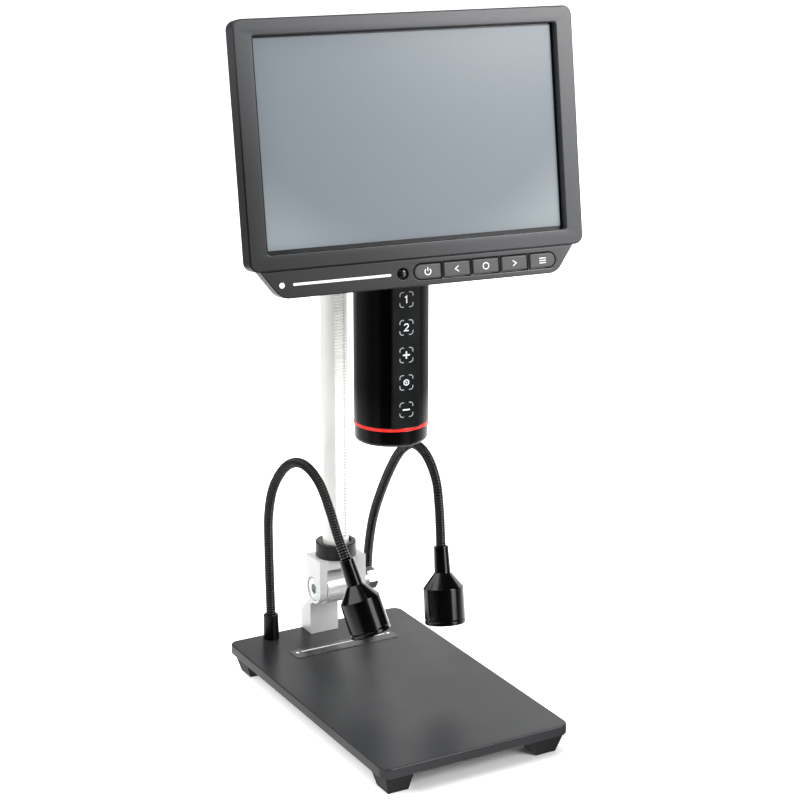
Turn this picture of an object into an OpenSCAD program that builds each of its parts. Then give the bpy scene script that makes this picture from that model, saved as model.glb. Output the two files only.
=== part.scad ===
// Digital inspection microscope on a column stand, with an eight inch screen and two gooseneck lamps.
// Millimetres, +Z up. The origin is on the floor under the middle of the base, on the optical axis.
// -Y is the front. Each module is one piece of the assembly.

/* [Base] */
// Width of the base plate
base_w = 120; // [110:1:150]
// Depth of the base plate
base_d = 200; // [190:1:240]
// Thickness of the base plate
base_t = 6; // [5:0.5:9]
// Corner radius of the base plate
base_r = 6; // [3:0.5:12]
// Height of the rubber feet
foot_h = 11.7; // [10:0.1:18]
// Side of a foot where it meets the plate
foot_top = 18.2; // [16:0.1:22]
// Side of a foot on the floor
foot_bottom = 12.7; // [11:0.1:15]
// Inset of a foot from the plate's edge, at the plate
foot_inset = 2.6; // [1.6:0.1:4]
// Size of the inlaid label plate, across and along the base
label_size = [70, 12]; // [8:1:80]
// Thickness of the label plate
label_t = 1; // [0.8:0.1:1.5]
// Place of the label plate's middle
label_at = [1, 62]; // [-5:1:70]

/* [Column hinge] */
// Width of the hinge post and its knuckle
post_w = 19.4; // [16:0.2:24]
// Depth of the hinge post
post_d = 13.6; // [12:0.2:18]
// Height of the hinge axis over the base plate
hinge_h = 36.3; // [32:0.1:42]
// Distance of the hinge axis behind the base's middle
hinge_y = 71.6; // [68:0.2:76]
// Radius of the post's knuckle
knuckle_r = 10.2; // [9:0.1:11]
// Thickness of each cheek of the clevis
cheek_t = 5.1; // [4.6:0.1:8]
// Depth of the clevis block, front to back
clevis_d = 18.8; // [18:0.2:24]
// Height of the clevis slot's roof over the hinge axis
slot_h = 14; // [12:0.5:20]
// Thickness of the clevis block's web over the slot
web_t = 6.3; // [5:0.1:10]
// Radius of the hinge bolt
bolt_r = 4; // [3:0.5:5]
// Radius of the hinge bolt's head
bolt_head_r = 7; // [6:0.2:8]

/* [Column] */
// Radius of the column rod
rod_r = 8; // [7:0.25:9]
// Length of the column rod
rod_len = 262; // [240:1:330]
// Outer radius of the collar at the column's foot
collar_r = 12.4; // [11:0.2:15]
// Height of the collar
collar_h = 9.5; // [8:0.5:14]
// Module of the rack and pinion teeth
tooth_m = 0.6; // [0.5:0.1:0.8]
// Number of pinion teeth
pinion_teeth = 18; // [17:1:20]
// Width of the rack
rack_w = 6.5; // [6:0.25:7.5]

/* [Carriage] */
// Height of the carriage's underside over the floor
carriage_z = 264; // [262:1:268]
// Height of the carriage
carriage_h = 44; // [36:1:50]
// Width of the carriage
carriage_w = 40; // [36:1:48]
// Height of the clamp ring that holds the camera tube
ring_h = 20; // [16:1:22]
// Wall of the clamp ring
ring_wall = 3.65; // [3:0.05:3.8]
// Radius of the focus knobs
focus_r = 13; // [11:0.5:15]
// Length of the focus knobs
focus_len = 12; // [10:0.5:18]
// Radius of the two clamp knobs
clamp_r = 8; // [7:0.5:9]

/* [Camera tube] */
// Radius of the camera tube
tube_r = 21.2; // [20:0.1:21.4]
// Height of the tube's lower end over the floor
tube_z = 169.1; // [165:0.1:175]
// Height of the tube's top over the floor
tube_top = 300; // [297:1:303]
// Radius of the tube's bore
tube_bore_r = 16.2; // [15:0.1:16.5]
// Height of the nose ring
nose_h = 8.9; // [6:0.1:12]
// Height of the coloured ring
accent_h = 1.9; // [1.6:0.1:4]
// Distance of the key panel's face from the tube's axis
panel_face = 21.9; // [21.6:0.1:22.6]
// Width of the key panel
panel_w = 16.8; // [14:0.2:20]
// Thickness of the key panel
panel_t = 0.5; // [0.4:0.1:1.2]
// Radius of the objective window
lens_r = 12; // [10:0.5:13]

/* [Screen] */
// Width of the screen housing
screen_w = 194.4; // [190:0.2:205]
// Height of the screen housing
screen_h = 130; // [126:0.5:140]
// Depth of the screen housing's rim
screen_d = 12.4; // [12:0.1:14]
// Corner radius of the screen housing
screen_r = 5; // [3:0.5:8]
// Width of the window in the bezel
window_w = 174.2; // [170:0.2:176]
// Height of the window in the bezel
window_h = 112.3; // [108:0.1:113]
// Depth of the glass behind the bezel's face
glass_depth = 4; // [3:0.25:4.5]
// Wall of the screen housing
shell_t = 2; // [1.6:0.1:2.4]
// Offset of the screen housing to its right, from its hinge
screen_x = 0.4; // [-1:0.1:1]
// Height of the screen's middle over the floor
screen_z = 345.5; // [343:0.5:348]
// Distance of the screen's face in front of the tube's axis, at its middle
screen_y = 32.3; // [31.5:0.1:34]
// Turn of the screen to its right, in degrees
screen_yaw = 5.9; // [0:0.1:8]
// Lean of the screen to the back, in degrees
screen_lean = 9.4; // [8:0.1:12]
// Width of a key cap
key_w = 15.6; // [14:0.1:16]
// Height of a key cap
key_h = 8.1; // [7:0.1:9]
// Distance from one key to the next
key_pitch = 17.25; // [16.8:0.05:18]

/* [Lamps] */
// Radius of the goosenecks
neck_r = 3; // [2.5:0.1:3.5]
// Distance of each gooseneck's foot from the middle, across the base
lamp_x = 33.7; // [32:0.1:35]
// Distance of each gooseneck's foot behind the middle
lamp_y = 93.2; // [91:0.1:94]
// Height of the sockets at the goosenecks' feet
boot_h = 15.8; // [12:0.2:20]
// Largest radius of a lamp head
head_r = 12.1; // [11:0.1:13]
// Length of a lamp head's cylindrical part
head_len = 18.4; // [14:0.2:24]

/* [Hidden] */
$fn = 64;
fit = 0.05;          // radial clearance of a shaft in its bore
gap = 0.3;           // clearance between pieces that move past each other
seat = 0.1;          // radial clearance of a fixed piece in its seat
base_top = foot_h + base_t;
base_back = base_d / 2;

foot_lean = 3.4;     // how far a foot's outer faces come in on their way down
screw_r = 2;         // screws in the base
screw_head = [3.7, 2.4];
screw_len = 12;
foot_mid = foot_inset + foot_top / 2;
foot_low = foot_inset + foot_lean;

hinge_z = base_top + hinge_h;
slot_w = post_w + 0.4;
clevis_w = slot_w + 2 * cheek_t;
clevis_top = hinge_z + slot_h + web_t;
head_sink = 3.2;     // depth of the bolt head's recess
head_t = 2.8;
clevis_out = 1.5;    // how much wider the clevis block is on the nut's side
nut_side = clevis_w / 2 + clevis_out;
washer = [8, 1.6];
spring_washer = [7.4, 2.2];
nut_af = 12;
nut_t = 6.8;
nut_x = nut_side + washer[1] + spring_washer[1];
post_front = base_back - post_d;
post_screw_x = 4.7;
post_screw_y = base_back - post_d / 2;

column_y = hinge_y - 1.5;
rod_top = clevis_top + rod_len;
pitch = PI * tooth_m;
rack_line = rod_r - 1;                     // rack's pitch line, from the rod's axis
rack_back = rack_line - 2.3;
rack_low = clevis_top + collar_h + 4;
rack_high = rod_top - 5;
pinion_r = tooth_m * pinion_teeth / 2;
tooth_up = tooth_m;
tooth_down = 1.25 * tooth_m;
backlash = 0.12;
pinion_w = rack_w - 0.9;
pinion_y = column_y - rack_line - pinion_r - 0.1;
shaft_r = 3;
carriage_mid = carriage_z + carriage_h / 2;
carriage_front = pinion_y - pinion_r - tooth_up - 3.7;
carriage_back = column_y + rod_r + 5.9;
lock_tip = column_y + rod_r + gap;
ring_r = tube_r + fit;
ring_out = ring_r + ring_wall;
arm_w = 22;
clamp_angle = 45;
clamp_z = carriage_z + ring_h / 2;
boss_out = ring_out + 3;
knob_bore = shaft_r + 0.03;

nose_top = tube_z + nose_h;
shell_low = nose_top + accent_h;
panel_back = panel_face - panel_t;
panel_top = carriage_z - 2;
lens_t = 3;
cell_top = tube_z + 62;
bracket_screw_r = 2.5;
tilt_fwd = 12;       // tilt pin, in front of the tube's axis
tilt_z = tube_top + 24;
ear_in = 10;
ear_t = 3;
ear_r = 6;
pin_r = 2;
bracket_t = 3;

pocket = [screen_w - 2 * shell_t, screen_h - 2 * shell_t];
lcd_side = 3.2;      // room beside the panel in the housing
lcd_end = 6;         // room above and below it, where the screws pass
lcd = [pocket[0] - 2 * lcd_side, pocket[1] - 2 * lcd_end, 4.5];
cover = [pocket[0] - 0.3, pocket[1] - 0.3];
cover_y = screen_d - 2;
bump = [130, 55];    // raised part of the back cover
bump_z = 22.5;
bump_y = 22;
board = [118, 47, 1.6];
board_y = cover_y + 3;
ports = [[8, 15], [26, 9], [38, 7]];      // middle and length of each socket
boss_z = (pocket[1] / 2 + lcd[1] / 2) / 2;
case_screw_in = 13.2; // outer screws, in from the housing's inner sides
case_screw_x = [-1, 0, 1] * (pocket[0] / 2 - case_screw_in);
case_screw_r = 1.2;
case_boss_r = 2.7;
bar_low = -screen_h / 2 - 14.9;
bar_face = 1.5;      // how far the key bar's face lies behind the bezel's
bar_depth = 9;
bar_half = screen_w / 2 - 5.6;
bar_corner = [bar_half - 16.3, bar_low + 9, 9];
key_z = -screen_h / 2 - 7.35;
key_in = 19.7;       // middle of the last key, in from the bar's end
key_sink = 0.2;      // clearance round a key
key_face = 0.9;
key_back = bar_face + shell_t + 0.1;
key_flange = 0.8;
key_travel = 0.8;
key_board_y = key_back + key_flange + 0.8 + key_travel + 0.7;
key_names = 5;
key_x0 = bar_half - key_in - (key_names - 1) * key_pitch;   // middle of the first key
ir_at = [-11.5, key_z - 0.2];
tilt_drop = screen_z - tilt_z;
lug_y = (screen_y - tilt_fwd) * cos(screen_lean) + tilt_drop * sin(screen_lean);
lug_z = (screen_y - tilt_fwd) * sin(screen_lean) - tilt_drop * cos(screen_lean);
lug_r = 6;
lug_w = 2 * ear_in - 2 * gap;

boot_r = [4.95, 4.6];
nose_r = tube_r - 0.4;
stem_r = 3;
neck_len = 15.6;
cone_len = 8.9;
bezel_len = 2.6;
cup_r = head_r - 2.1;
ball_drop = 1.2;     // the lamp neck's top face, below the ball's middle
// Lean of each lamp head, about X and then about Y
left_lean = [-19.17, -10.91];
right_lean = [-12.44, 3.08];
// Routes of the two goosenecks, from the socket to the ball in the lamp's neck
left_route = [
    [-lamp_x, lamp_y, base_top + boot_h], [-33.7, 93.9, 55], [-33.7, 94.4, 78], [-33.5, 94.1, 98],
    [-32.6, 89, 116.7], [-31, 76.9, 132.4], [-29, 64.4, 139.6], [-27, 52.5, 139.5],
    [-25, 41.4, 132.5], [-23.3, 32.2, 119], [-22.1, 24.9, 105.2], [-21.1, 20.3, 97.3],
    [-20.2, 18.4, 93.2]];
right_route = [
    [lamp_x, lamp_y, base_top + boot_h], [33.7, 92.5, 48.2], [33.7, 90.2, 67.6], [33.7, 84.1, 88.8],
    [33.7, 73.8, 108.5], [33.7, 60.8, 128.1], [33.7, 48.2, 142.2], [33.7, 33.2, 150.3],
    [33.7, 17.7, 147.3], [33.7, 6.7, 135.3], [33.7, 2.8, 119.2], [33.7, 1.4, 106],
    [33.7, 0.7, 97.7]];
driver = [46, 30, 8.2];
driver_y = base_back - post_d - 9;
jack_r = 3.3;
jack_z = 4.7;

// ---- shared shapes ----

// A rectangle with true round corners, centred.
module round_rect(w, h, r) {
    square([w - 2 * r, h], center = true);
    square([w, h - 2 * r], center = true);
    for (x = [-1, 1], y = [-1, 1]) translate([x * (w / 2 - r), y * (h / 2 - r)]) circle(r);
}

// A rod along +X, +Y or -Z from its start.
module rod_x(r, l) rotate([0, 90, 0]) cylinder(h = l, r = r);
module rod_y(r, l) rotate([-90, 0, 0]) cylinder(h = l, r = r);

// Extrudes a YZ outline along X, centred.
module across(w) rotate([90, 0, 90]) translate([0, 0, -w / 2]) linear_extrude(w) children();

// Extrudes an XZ outline from y to y + d.
module behind(y, d) translate([0, y + d, 0]) rotate([90, 0, 0]) linear_extrude(d) children();

// Moves children from the screen's own frame (face on y = 0, middle at the origin) to its place.
module in_screen()
    rotate([0, 0, -screen_yaw]) translate([screen_x, -screen_y, screen_z])
        rotate([-screen_lean, 0, 0]) children();

// Points on a smooth curve through the route, steps to each span.
function spline(p, i, t) =
    let (n = len(p) - 1, a = p[max(i - 1, 0)], b = p[i], c = p[i + 1], d = p[min(i + 2, n)])
    0.5 * (2 * b + (c - a) * t + (2 * a - 5 * b + 4 * c - d) * t * t
        + (3 * b - a - 3 * c + d) * t * t * t);
function smooth(p, steps) = concat(
    [for (i = [0:len(p) - 2], k = [0:steps - 1]) spline(p, i, k / steps)], [p[len(p) - 1]]);
function unit(v) = v / norm(v);

// A closed tube of radius r through the points of a path that stays near a YZ plane, with a round far end.
module swept(path, r, sides) {
    n = len(path);
    ahead = [for (i = [0:n - 1]) unit(path[min(i + 1, n - 1)] - path[max(i - 1, 0)])];
    stations = concat([for (i = [0:n - 1]) [path[i], ahead[i], r]],
        [for (a = [20:20:80]) [path[n - 1] + r * sin(a) * ahead[n - 1], ahead[n - 1], r * cos(a)]]);
    m = len(stations);
    rings = [for (s = stations) let (u = unit(cross([1, 0, 0], s[1])), v = cross(s[1], u))
        for (k = [0:sides - 1])
            s[0] + s[2] * (cos(360 * k / sides) * u + sin(360 * k / sides) * v)];
    walls = [for (i = [0:m - 2], k = [0:sides - 1])
        let (a = i * sides + k, b = i * sides + (k + 1) % sides)
        each [[a, a + sides, b + sides], [a, b + sides, b]]];
    polyhedron(rings, concat(walls, [[for (k = [0:sides - 1]) k]],
        [[for (k = [sides - 1:-1:0]) (m - 1) * sides + k]]));
}

// ---- base ----

module base_screw_holes(r) {
    for (x = [-1, 1], y = [-1, 1])
        translate([x * (base_w / 2 - foot_mid), y * (base_d / 2 - foot_mid), 0]) circle(r);
    for (x = [-1, 1]) translate([x * post_screw_x, post_screw_y]) circle(r);
}

module base_plate() color("#45484b") difference() {
    translate([0, 0, foot_h]) linear_extrude(base_t) round_rect(base_w, base_d, base_r);
    translate([0, 0, foot_h - 1]) linear_extrude(1 + screw_len - foot_h + screw_head[1] + 3.6)
        for (x = [-1, 1], y = [-1, 1])
            translate([x * (base_w / 2 - foot_mid), y * (base_d / 2 - foot_mid)]) circle(screw_r + seat);
    for (x = [-1, 1]) translate([x * post_screw_x, post_screw_y, foot_h - 1]) {
        cylinder(h = base_t + 2, r = screw_r + seat);
        cylinder(h = 1 + screw_head[1] + 0.3, r = screw_head[0] + seat);
    }
    for (x = [-lamp_x, lamp_x]) translate([x, lamp_y, foot_h - 1])
        cylinder(h = base_t + 2, r = stem_r + seat);
    translate([label_at[0], label_at[1], base_top - label_t + gap])
        linear_extrude(label_t) round_rect(label_size[0] + 2 * seat, label_size[1] + 2 * seat, 2);
}

// One tapered foot: its outer faces lean in, its inner faces lean out less.
module foot(x, y) {
    module side() polygon([[foot_low, 0], [foot_low + foot_bottom, 0],
        [foot_inset + foot_top, foot_h], [foot_inset, foot_h]]);
    difference() {
        intersection() {
            translate([x * base_w / 2, 0, 0]) scale([-x, 1, 1]) rotate([90, 0, 0])
                translate([0, 0, -base_d]) linear_extrude(2 * base_d) side();
            translate([0, y * base_d / 2, 0]) scale([1, -y, 1]) rotate([90, 0, 90])
                translate([0, 0, -base_w]) linear_extrude(2 * base_w) side();
        }
        translate([x * (base_w / 2 - foot_mid), y * (base_d / 2 - foot_mid), -1]) {
            cylinder(h = foot_h + 2, r = screw_r + seat);
            cylinder(h = 1 + foot_screw_z() + screw_head[1], r = screw_head[0] + 0.3);
        }
    }
}
function foot_screw_z() = 1.6;

module feet() color("#26282a") for (x = [-1, 1], y = [-1, 1]) foot(x, y);

module base_screw() {
    cylinder(h = screw_head[1], r = screw_head[0]);
    cylinder(h = screw_head[1] + screw_len, r = screw_r);
}

module base_screws() color("#8d9092") {
    for (x = [-1, 1], y = [-1, 1])
        translate([x * (base_w / 2 - foot_mid), y * (base_d / 2 - foot_mid), foot_screw_z()]) base_screw();
    for (x = [-1, 1]) translate([x * post_screw_x, post_screw_y, foot_h + 0.3]) base_screw();
}

module label_plate() color("#3a3c3e")
    translate([label_at[0], label_at[1], base_top - label_t + gap])
        linear_extrude(label_t) round_rect(label_size[0], label_size[1], 2);

module hinge_post() color("#c9c8c6") difference() {
    union() {
        across(post_w) polygon([[post_front, base_top], [base_back, base_top],
            [base_back, base_top + 12.6], [hinge_y + knuckle_r - 0.4, hinge_z - 6.3],
            [hinge_y + knuckle_r, hinge_z + 1], [hinge_y, hinge_z],
            [hinge_y + knuckle_r * 0.32, hinge_z - knuckle_r * 0.94], [post_front, base_top + 20]]);
        translate([-post_w / 2, hinge_y, hinge_z]) rod_x(knuckle_r, post_w);
    }
    translate([-post_w, hinge_y, hinge_z]) rod_x(bolt_r + fit, 2 * post_w);
    for (x = [-1, 1]) translate([x * post_screw_x, post_screw_y, base_top - 1])
        cylinder(h = 1 + foot_h + 0.3 + screw_head[1] + screw_len - base_top + 0.5, r = screw_r + seat);
}

// ---- goosenecks and lamps ----

module boot(x) color("#1d1e1f") translate([x, lamp_y, 0]) difference() {
    union() {
        translate([0, 0, base_top]) cylinder(h = boot_h, r1 = boot_r[0], r2 = boot_r[1]);
        translate([0, 0, foot_h - 4.4]) cylinder(h = base_t + 5, r = stem_r);
    }
    translate([0, 0, base_top + 1.5]) cylinder(h = boot_h, r = neck_r + fit);
    translate([0, 0, 0]) cylinder(h = base_top + 2, r = 1.4);
}
module left_boot() boot(-lamp_x);
module right_boot() boot(lamp_x);

module boot_nuts() color("#8d9092") for (x = [-lamp_x, lamp_x]) translate([x, lamp_y, foot_h - 3])
    difference() {
        rotate([0, 0, 30]) cylinder(h = 3, r = 5 / cos(30), $fn = 6);
        translate([0, 0, -1]) cylinder(h = 5, r = stem_r + seat);
    }

module driver_case() color("#202224") translate([0, driver_y, foot_h - driver[2]]) difference() {
    translate([-driver[0] / 2, -driver[1] / 2, 0]) cube(driver);
    translate([-driver[0] / 2 + 1.6, -driver[1] / 2 + 1.6, 1.2])
        cube([driver[0] - 3.2, driver[1] - 3.2, driver[2]]);
    translate([0, driver[1] / 2 - 3, jack_z]) rod_y(jack_r - 0.3 + seat, 5);
}

module driver_board() color("#2f6b46") translate([0, driver_y, foot_h - driver[2] + 1.3]) {
    translate([-20, -driver[1] / 2 + 1.9, 0]) cube([40, 16, 1.2]);
    for (x = [-13, 0, 13]) translate([x - 3, -driver[1] / 2 + 5, 1.2]) cube([6, 6, 2.2]);
}

// Round power socket with its centre pin.
module lamp_inlet() color("#17181a") translate([0, driver_y + driver[1] / 2, foot_h - driver[2] + jack_z]) {
    translate([0, -9.5, 0]) difference() {
        union() {
            rod_y(jack_r - 0.3, 9.5);
            rod_y(jack_r, 7.6);
        }
        translate([0, 1.5, 0]) rod_y(2.4, 9);
    }
    translate([0, -8.5, 0]) rod_y(1, 7.5);
}

module gooseneck(route) color("#222324")
    swept(concat([[route[0][0], route[0][1], base_top + 1.8]], smooth(route, 3)), neck_r, 16);
module left_gooseneck() gooseneck(left_route);
module right_gooseneck() gooseneck(right_route);

// Moves children from a lamp's own frame, which hangs down -Z from the ball's middle.
module in_lamp(route, lean)
    translate(route[len(route) - 1]) rotate([lean[0], lean[1], 0]) children();

socket_l = 4;          // length of the round trough that the lamp turns in
socket_gap = 0.15;
lamp_top = -ball_drop;
lamp_cone = lamp_top - neck_len;
lamp_cyl = lamp_cone - cone_len;
lamp_end = lamp_cyl - head_len;
bezel_top = lamp_end - 0.5;
bezel_end = bezel_top - bezel_len;

module lamp_body() color("#121314") difference() {
    rotate_extrude() polygon([[0, lamp_top], [4.3, lamp_top], [4.85, lamp_cone],
        [head_r - 0.1, lamp_cyl], [head_r, lamp_end], [cup_r, lamp_end], [cup_r, lamp_cyl - 1.7],
        [1.4, lamp_cyl - 1.7], [1.4, lamp_top - 2], [0, lamp_top - 2]]);
    sphere(neck_r + fit);
    translate([-socket_l / 2, 0, 0]) rod_x(neck_r + socket_gap, socket_l);
    translate([0, 0, lamp_top - 4]) cylinder(h = 4, r = 1.4);
}
module lamp_bezel() color("#121314") rotate_extrude() polygon([[cup_r - 2, bezel_end],
    [head_r - 0.4, bezel_end], [head_r, bezel_end + 0.4], [head_r, bezel_top],
    [cup_r - seat, bezel_top], [cup_r - seat, bezel_top + 5], [cup_r - 1.4, bezel_top + 5],
    [cup_r - 1.4, bezel_end + 1], [cup_r - 2, bezel_end + 1]]);
module lamp_lens() color("#e8eef2") translate([0, 0, bezel_end + 1])
    cylinder(h = 2, r = cup_r - 1.4 - seat);
module led_board() color("#e9e9e4") {
    translate([0, 0, lamp_cyl - 1.7 - 1.6]) cylinder(h = 1.6, r = cup_r - seat);
    translate([-2.5, -2.5, lamp_cyl - 1.7 - 2.8]) cube([5, 5, 1.2]);
}
module left_lamp_body() in_lamp(left_route, left_lean) lamp_body();
module left_lamp_bezel() in_lamp(left_route, left_lean) lamp_bezel();
module left_lamp_lens() in_lamp(left_route, left_lean) lamp_lens();
module left_led_board() in_lamp(left_route, left_lean) led_board();
module right_lamp_body() in_lamp(right_route, right_lean) lamp_body();
module right_lamp_bezel() in_lamp(right_route, right_lean) lamp_bezel();
module right_lamp_lens() in_lamp(right_route, right_lean) lamp_lens();
module right_led_board() in_lamp(right_route, right_lean) led_board();

// ---- column ----

module clevis_block() color("#d4d2ce") difference() {
    translate([clevis_out / 2, 0, 0]) across(clevis_w + clevis_out) {
        translate([hinge_y - clevis_d / 2, hinge_z]) square([clevis_d, slot_h + web_t]);
        translate([hinge_y, hinge_z]) circle(clevis_d / 2);
    }
    translate([-slot_w / 2, hinge_y - clevis_d, hinge_z - clevis_d])
        cube([slot_w, 2 * clevis_d, clevis_d + slot_h]);
    translate([-clevis_w, hinge_y, hinge_z]) rod_x(bolt_r + fit, 2 * clevis_w);
    translate([-clevis_w / 2 - 1, hinge_y, hinge_z]) rod_x(bolt_head_r + 0.4, 1 + head_sink);
    translate([0, column_y, clevis_top - web_t - 1]) cylinder(h = web_t + 2, r = 3 + seat);
    translate([0, column_y, clevis_top - web_t - 0.01]) cylinder(h = 3.1, r1 = 6.1, r2 = 3);
}

module pivot_bolt() color("#b9bcbe") translate([0, hinge_y, hinge_z]) difference() {
    union() {
        translate([-clevis_w / 2 + head_sink - head_t, 0, 0]) rod_x(bolt_head_r, head_t);
        translate([-clevis_w / 2 + head_sink, 0, 0])
            rod_x(bolt_r, clevis_w / 2 - head_sink + nut_x + nut_t + 1);
    }
    translate([-clevis_w / 2 - 1, 0, 0]) rotate([0, 90, 0])
        cylinder(h = 1 + head_sink - 0.9, r = 3 / cos(30), $fn = 6);
}

// A flat washer, and a split spring washer on it.
module pivot_washer() color("#c2c5c7") translate([nut_side, hinge_y, hinge_z]) difference() {
    union() {
        rod_x(washer[0], washer[1]);
        translate([washer[1], 0, 0]) rod_x(spring_washer[0], spring_washer[1]);
    }
    translate([-1, 0, 0]) rod_x(bolt_r + seat, nut_x - nut_side + 2);
    translate([washer[1], 0, bolt_r - 1]) rotate([0, 0, 20])
        translate([-2, -0.5, 0]) cube([8, 1, spring_washer[0]]);
}

// The hex nut; its ends are chamfered.
module pivot_nut() color("#c2c5c7") translate([nut_x, hinge_y, hinge_z]) rotate([0, 90, 0])
    difference() {
        intersection() {
            rotate([0, 0, 30]) cylinder(h = nut_t, r = nut_af / 2 / cos(30), $fn = 6);
            union() {
                cylinder(h = nut_t / 2 + 0.01, r1 = nut_af / 2 - 0.1, r2 = nut_af / 2 + nut_t);
                translate([0, 0, nut_t / 2])
                    cylinder(h = nut_t / 2, r1 = nut_af / 2 + nut_t, r2 = nut_af / 2 - 0.1);
            }
        }
        translate([0, 0, -1]) cylinder(h = nut_t + 2, r = bolt_r + seat);
    }

module column_screw() color("#8d9092") translate([0, column_y, clevis_top - web_t]) {
    cylinder(h = 3, r1 = 6, r2 = 3);
    cylinder(h = web_t + 11, r = 3);
}

module collar() color("#1a1b1c") translate([0, column_y, clevis_top]) difference() {
    cylinder(h = collar_h, r = collar_r);
    translate([0, 0, -1]) cylinder(h = collar_h + 2, r = rod_r + seat);
    translate([0, 0, collar_h - 0.8]) cylinder(h = 1, r1 = rod_r + seat, r2 = rod_r + 1.2);
}

module column_rod() color("#dfe0df") difference() {
    translate([0, column_y, clevis_top]) {
        cylinder(h = rod_len - 1, r = rod_r);
        translate([0, 0, rod_len - 1]) cylinder(h = 1, r1 = rod_r, r2 = rod_r - 1);
    }
    translate([0, column_y, clevis_top - 1]) cylinder(h = 13, r = 3 + seat);
    translate([-rack_w / 2 - seat, column_y - rod_r - 1, rack_low])
        cube([rack_w + 2 * seat, rod_r + 1 - rack_back, rack_high - rack_low + seat]);
}

// Rack teeth point to the front; a space lies level with the pinion's axis.
module column_rack() color("#c9cac8") {
    half = pitch / 4 - backlash / 2;
    lean_up = tooth_up * tan(20);
    lean_down = tooth_down * tan(20);
    first = ceil((rack_low - carriage_mid) / pitch);
    last = floor((rack_high - carriage_mid) / pitch) - 1;
    tips = [for (k = [first:last]) let (z = carriage_mid + (k + 0.5) * pitch)
        each [[-rack_line + tooth_down, z - half - lean_down], [-rack_line - tooth_up, z - half + lean_up],
            [-rack_line - tooth_up, z + half - lean_up], [-rack_line + tooth_down, z + half + lean_down]]];
    translate([0, column_y, 0]) across(rack_w) polygon(concat(
        [[-rack_back, rack_low + seat], [-rack_line + tooth_down, rack_low + seat]], tips,
        [[-rack_line + tooth_down, rack_high - seat], [-rack_back, rack_high - seat]]));
}

// ---- carriage ----

module carriage() color("#1e1f21") difference() {
    translate([-carriage_w / 2, carriage_front, carriage_z])
        cube([carriage_w, carriage_back - carriage_front, carriage_h]);
    translate([0, column_y, carriage_z - 1]) cylinder(h = carriage_h + 2, r = rod_r + fit);
    translate([-rack_w / 2 - gap, column_y - rack_line - tooth_up - gap, carriage_z - 1])
        cube([rack_w + 2 * gap, rack_line, carriage_h + 2]);
    translate([-carriage_w, pinion_y, carriage_mid]) rod_x(shaft_r + fit, 2 * carriage_w);
    translate([-rack_w / 2, pinion_y, carriage_mid]) rod_x(pinion_r + tooth_up + gap, rack_w);
    translate([0, column_y, carriage_mid]) rod_y(3 + fit, carriage_back);
}

module barrel_clamp() color("#1e1f21") difference() {
    union() {
        translate([0, 0, carriage_z]) cylinder(h = ring_h, r = ring_out);
        translate([-arm_w / 2, 0, carriage_z]) cube([arm_w, carriage_front, ring_h]);
        translate([-carriage_w / 2 + 2, carriage_front - 5, carriage_z])
            cube([carriage_w - 4, 5, carriage_h - 4]);
        rotate([0, 0, clamp_angle]) translate([0, 0, clamp_z]) rod_x(6, boss_out);
    }
    translate([0, 0, carriage_z - 1]) cylinder(h = ring_h + 2, r = ring_r);
    rotate([0, 0, clamp_angle]) translate([0, 0, clamp_z]) rod_x(3 + fit, boss_out + 1);
}

// Pinion outline with involute flanks; one tooth points along the outline's x, to the rack.
function inv_angle(r, rb) = r <= rb ? 0 : let (a = acos(rb / r)) tan(a) * 180 / PI - a;
module pinion_outline() {
    rb = pinion_r * cos(20);
    tip = pinion_r + tooth_up;
    root = pinion_r - tooth_down;
    half0 = 90 / pinion_teeth + inv_angle(pinion_r, rb) - backlash / 2 / pinion_r * 180 / PI;
    flank = [for (i = [0:4]) rb + 0.01 + (tip - rb - 0.01) * i / 4];
    polygon([for (k = [0:pinion_teeth - 1]) let (c = 360 * k / pinion_teeth) each concat(
        [root * [cos(c - half0), sin(c - half0)]],
        [for (r = flank) let (h = half0 - inv_angle(r, rb)) r * [cos(c - h), sin(c - h)]],
        [for (i = [4:-1:0]) let (r = flank[i], h = half0 - inv_angle(r, rb))
            r * [cos(c + h), sin(c + h)]],
        [root * [cos(c + half0), sin(c + half0)]])]);
}

module pinion_shaft() color("#9fa2a4") translate([0, pinion_y, carriage_mid]) {
    across(pinion_w) pinion_outline();
    translate([-carriage_w / 2 - focus_len, 0, 0]) rod_x(shaft_r, carriage_w + 2 * focus_len);
}

// Grip knob on +X: a gripped rim and a cupped face.
module grip_knob(r, l, bore, ribs) difference() {
    rotate([0, 90, 0]) cylinder(h = l, r = r);
    translate([-1, 0, 0]) rod_x(bore, l + 2);
    translate([l - 1.2, 0, 0]) rod_x(r - 2.5, 2);
    for (k = [0:ribs - 1]) rotate([360 * (k + 0.5) / ribs, 0, 0])
        translate([1.2, r + 0.5, 0]) rod_x(0.5 + 0.045 * r, l);
}
module right_focus_knob() color("#161718")
    translate([carriage_w / 2 + 0.5, pinion_y, carriage_mid]) grip_knob(focus_r, focus_len, knob_bore, 24);
module left_focus_knob() color("#161718")
    translate([-carriage_w / 2 - 0.5, pinion_y, carriage_mid]) rotate([0, 0, 180])
        grip_knob(focus_r, focus_len, knob_bore, 24);

// Thumb screw along +X, with its tip at the start.
module thumb_screw(tip, shank) translate([tip, 0, 0]) {
    rod_x(3, shank + 1);
    translate([shank, 0, 0]) grip_knob(clamp_r, 10, 2.5, 8);
    translate([shank, 0, 0]) rod_x(2.6, 9);
}
module clamp_knob() color("#161718") rotate([0, 0, clamp_angle]) translate([0, 0, clamp_z])
    thumb_screw(tube_r + gap, boss_out - tube_r + 1);
module lock_knob() color("#161718") translate([0, column_y, carriage_mid]) rotate([0, 0, 90])
    thumb_screw(rod_r + gap, carriage_back - column_y - rod_r + 1);

// ---- camera tube ----

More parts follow.
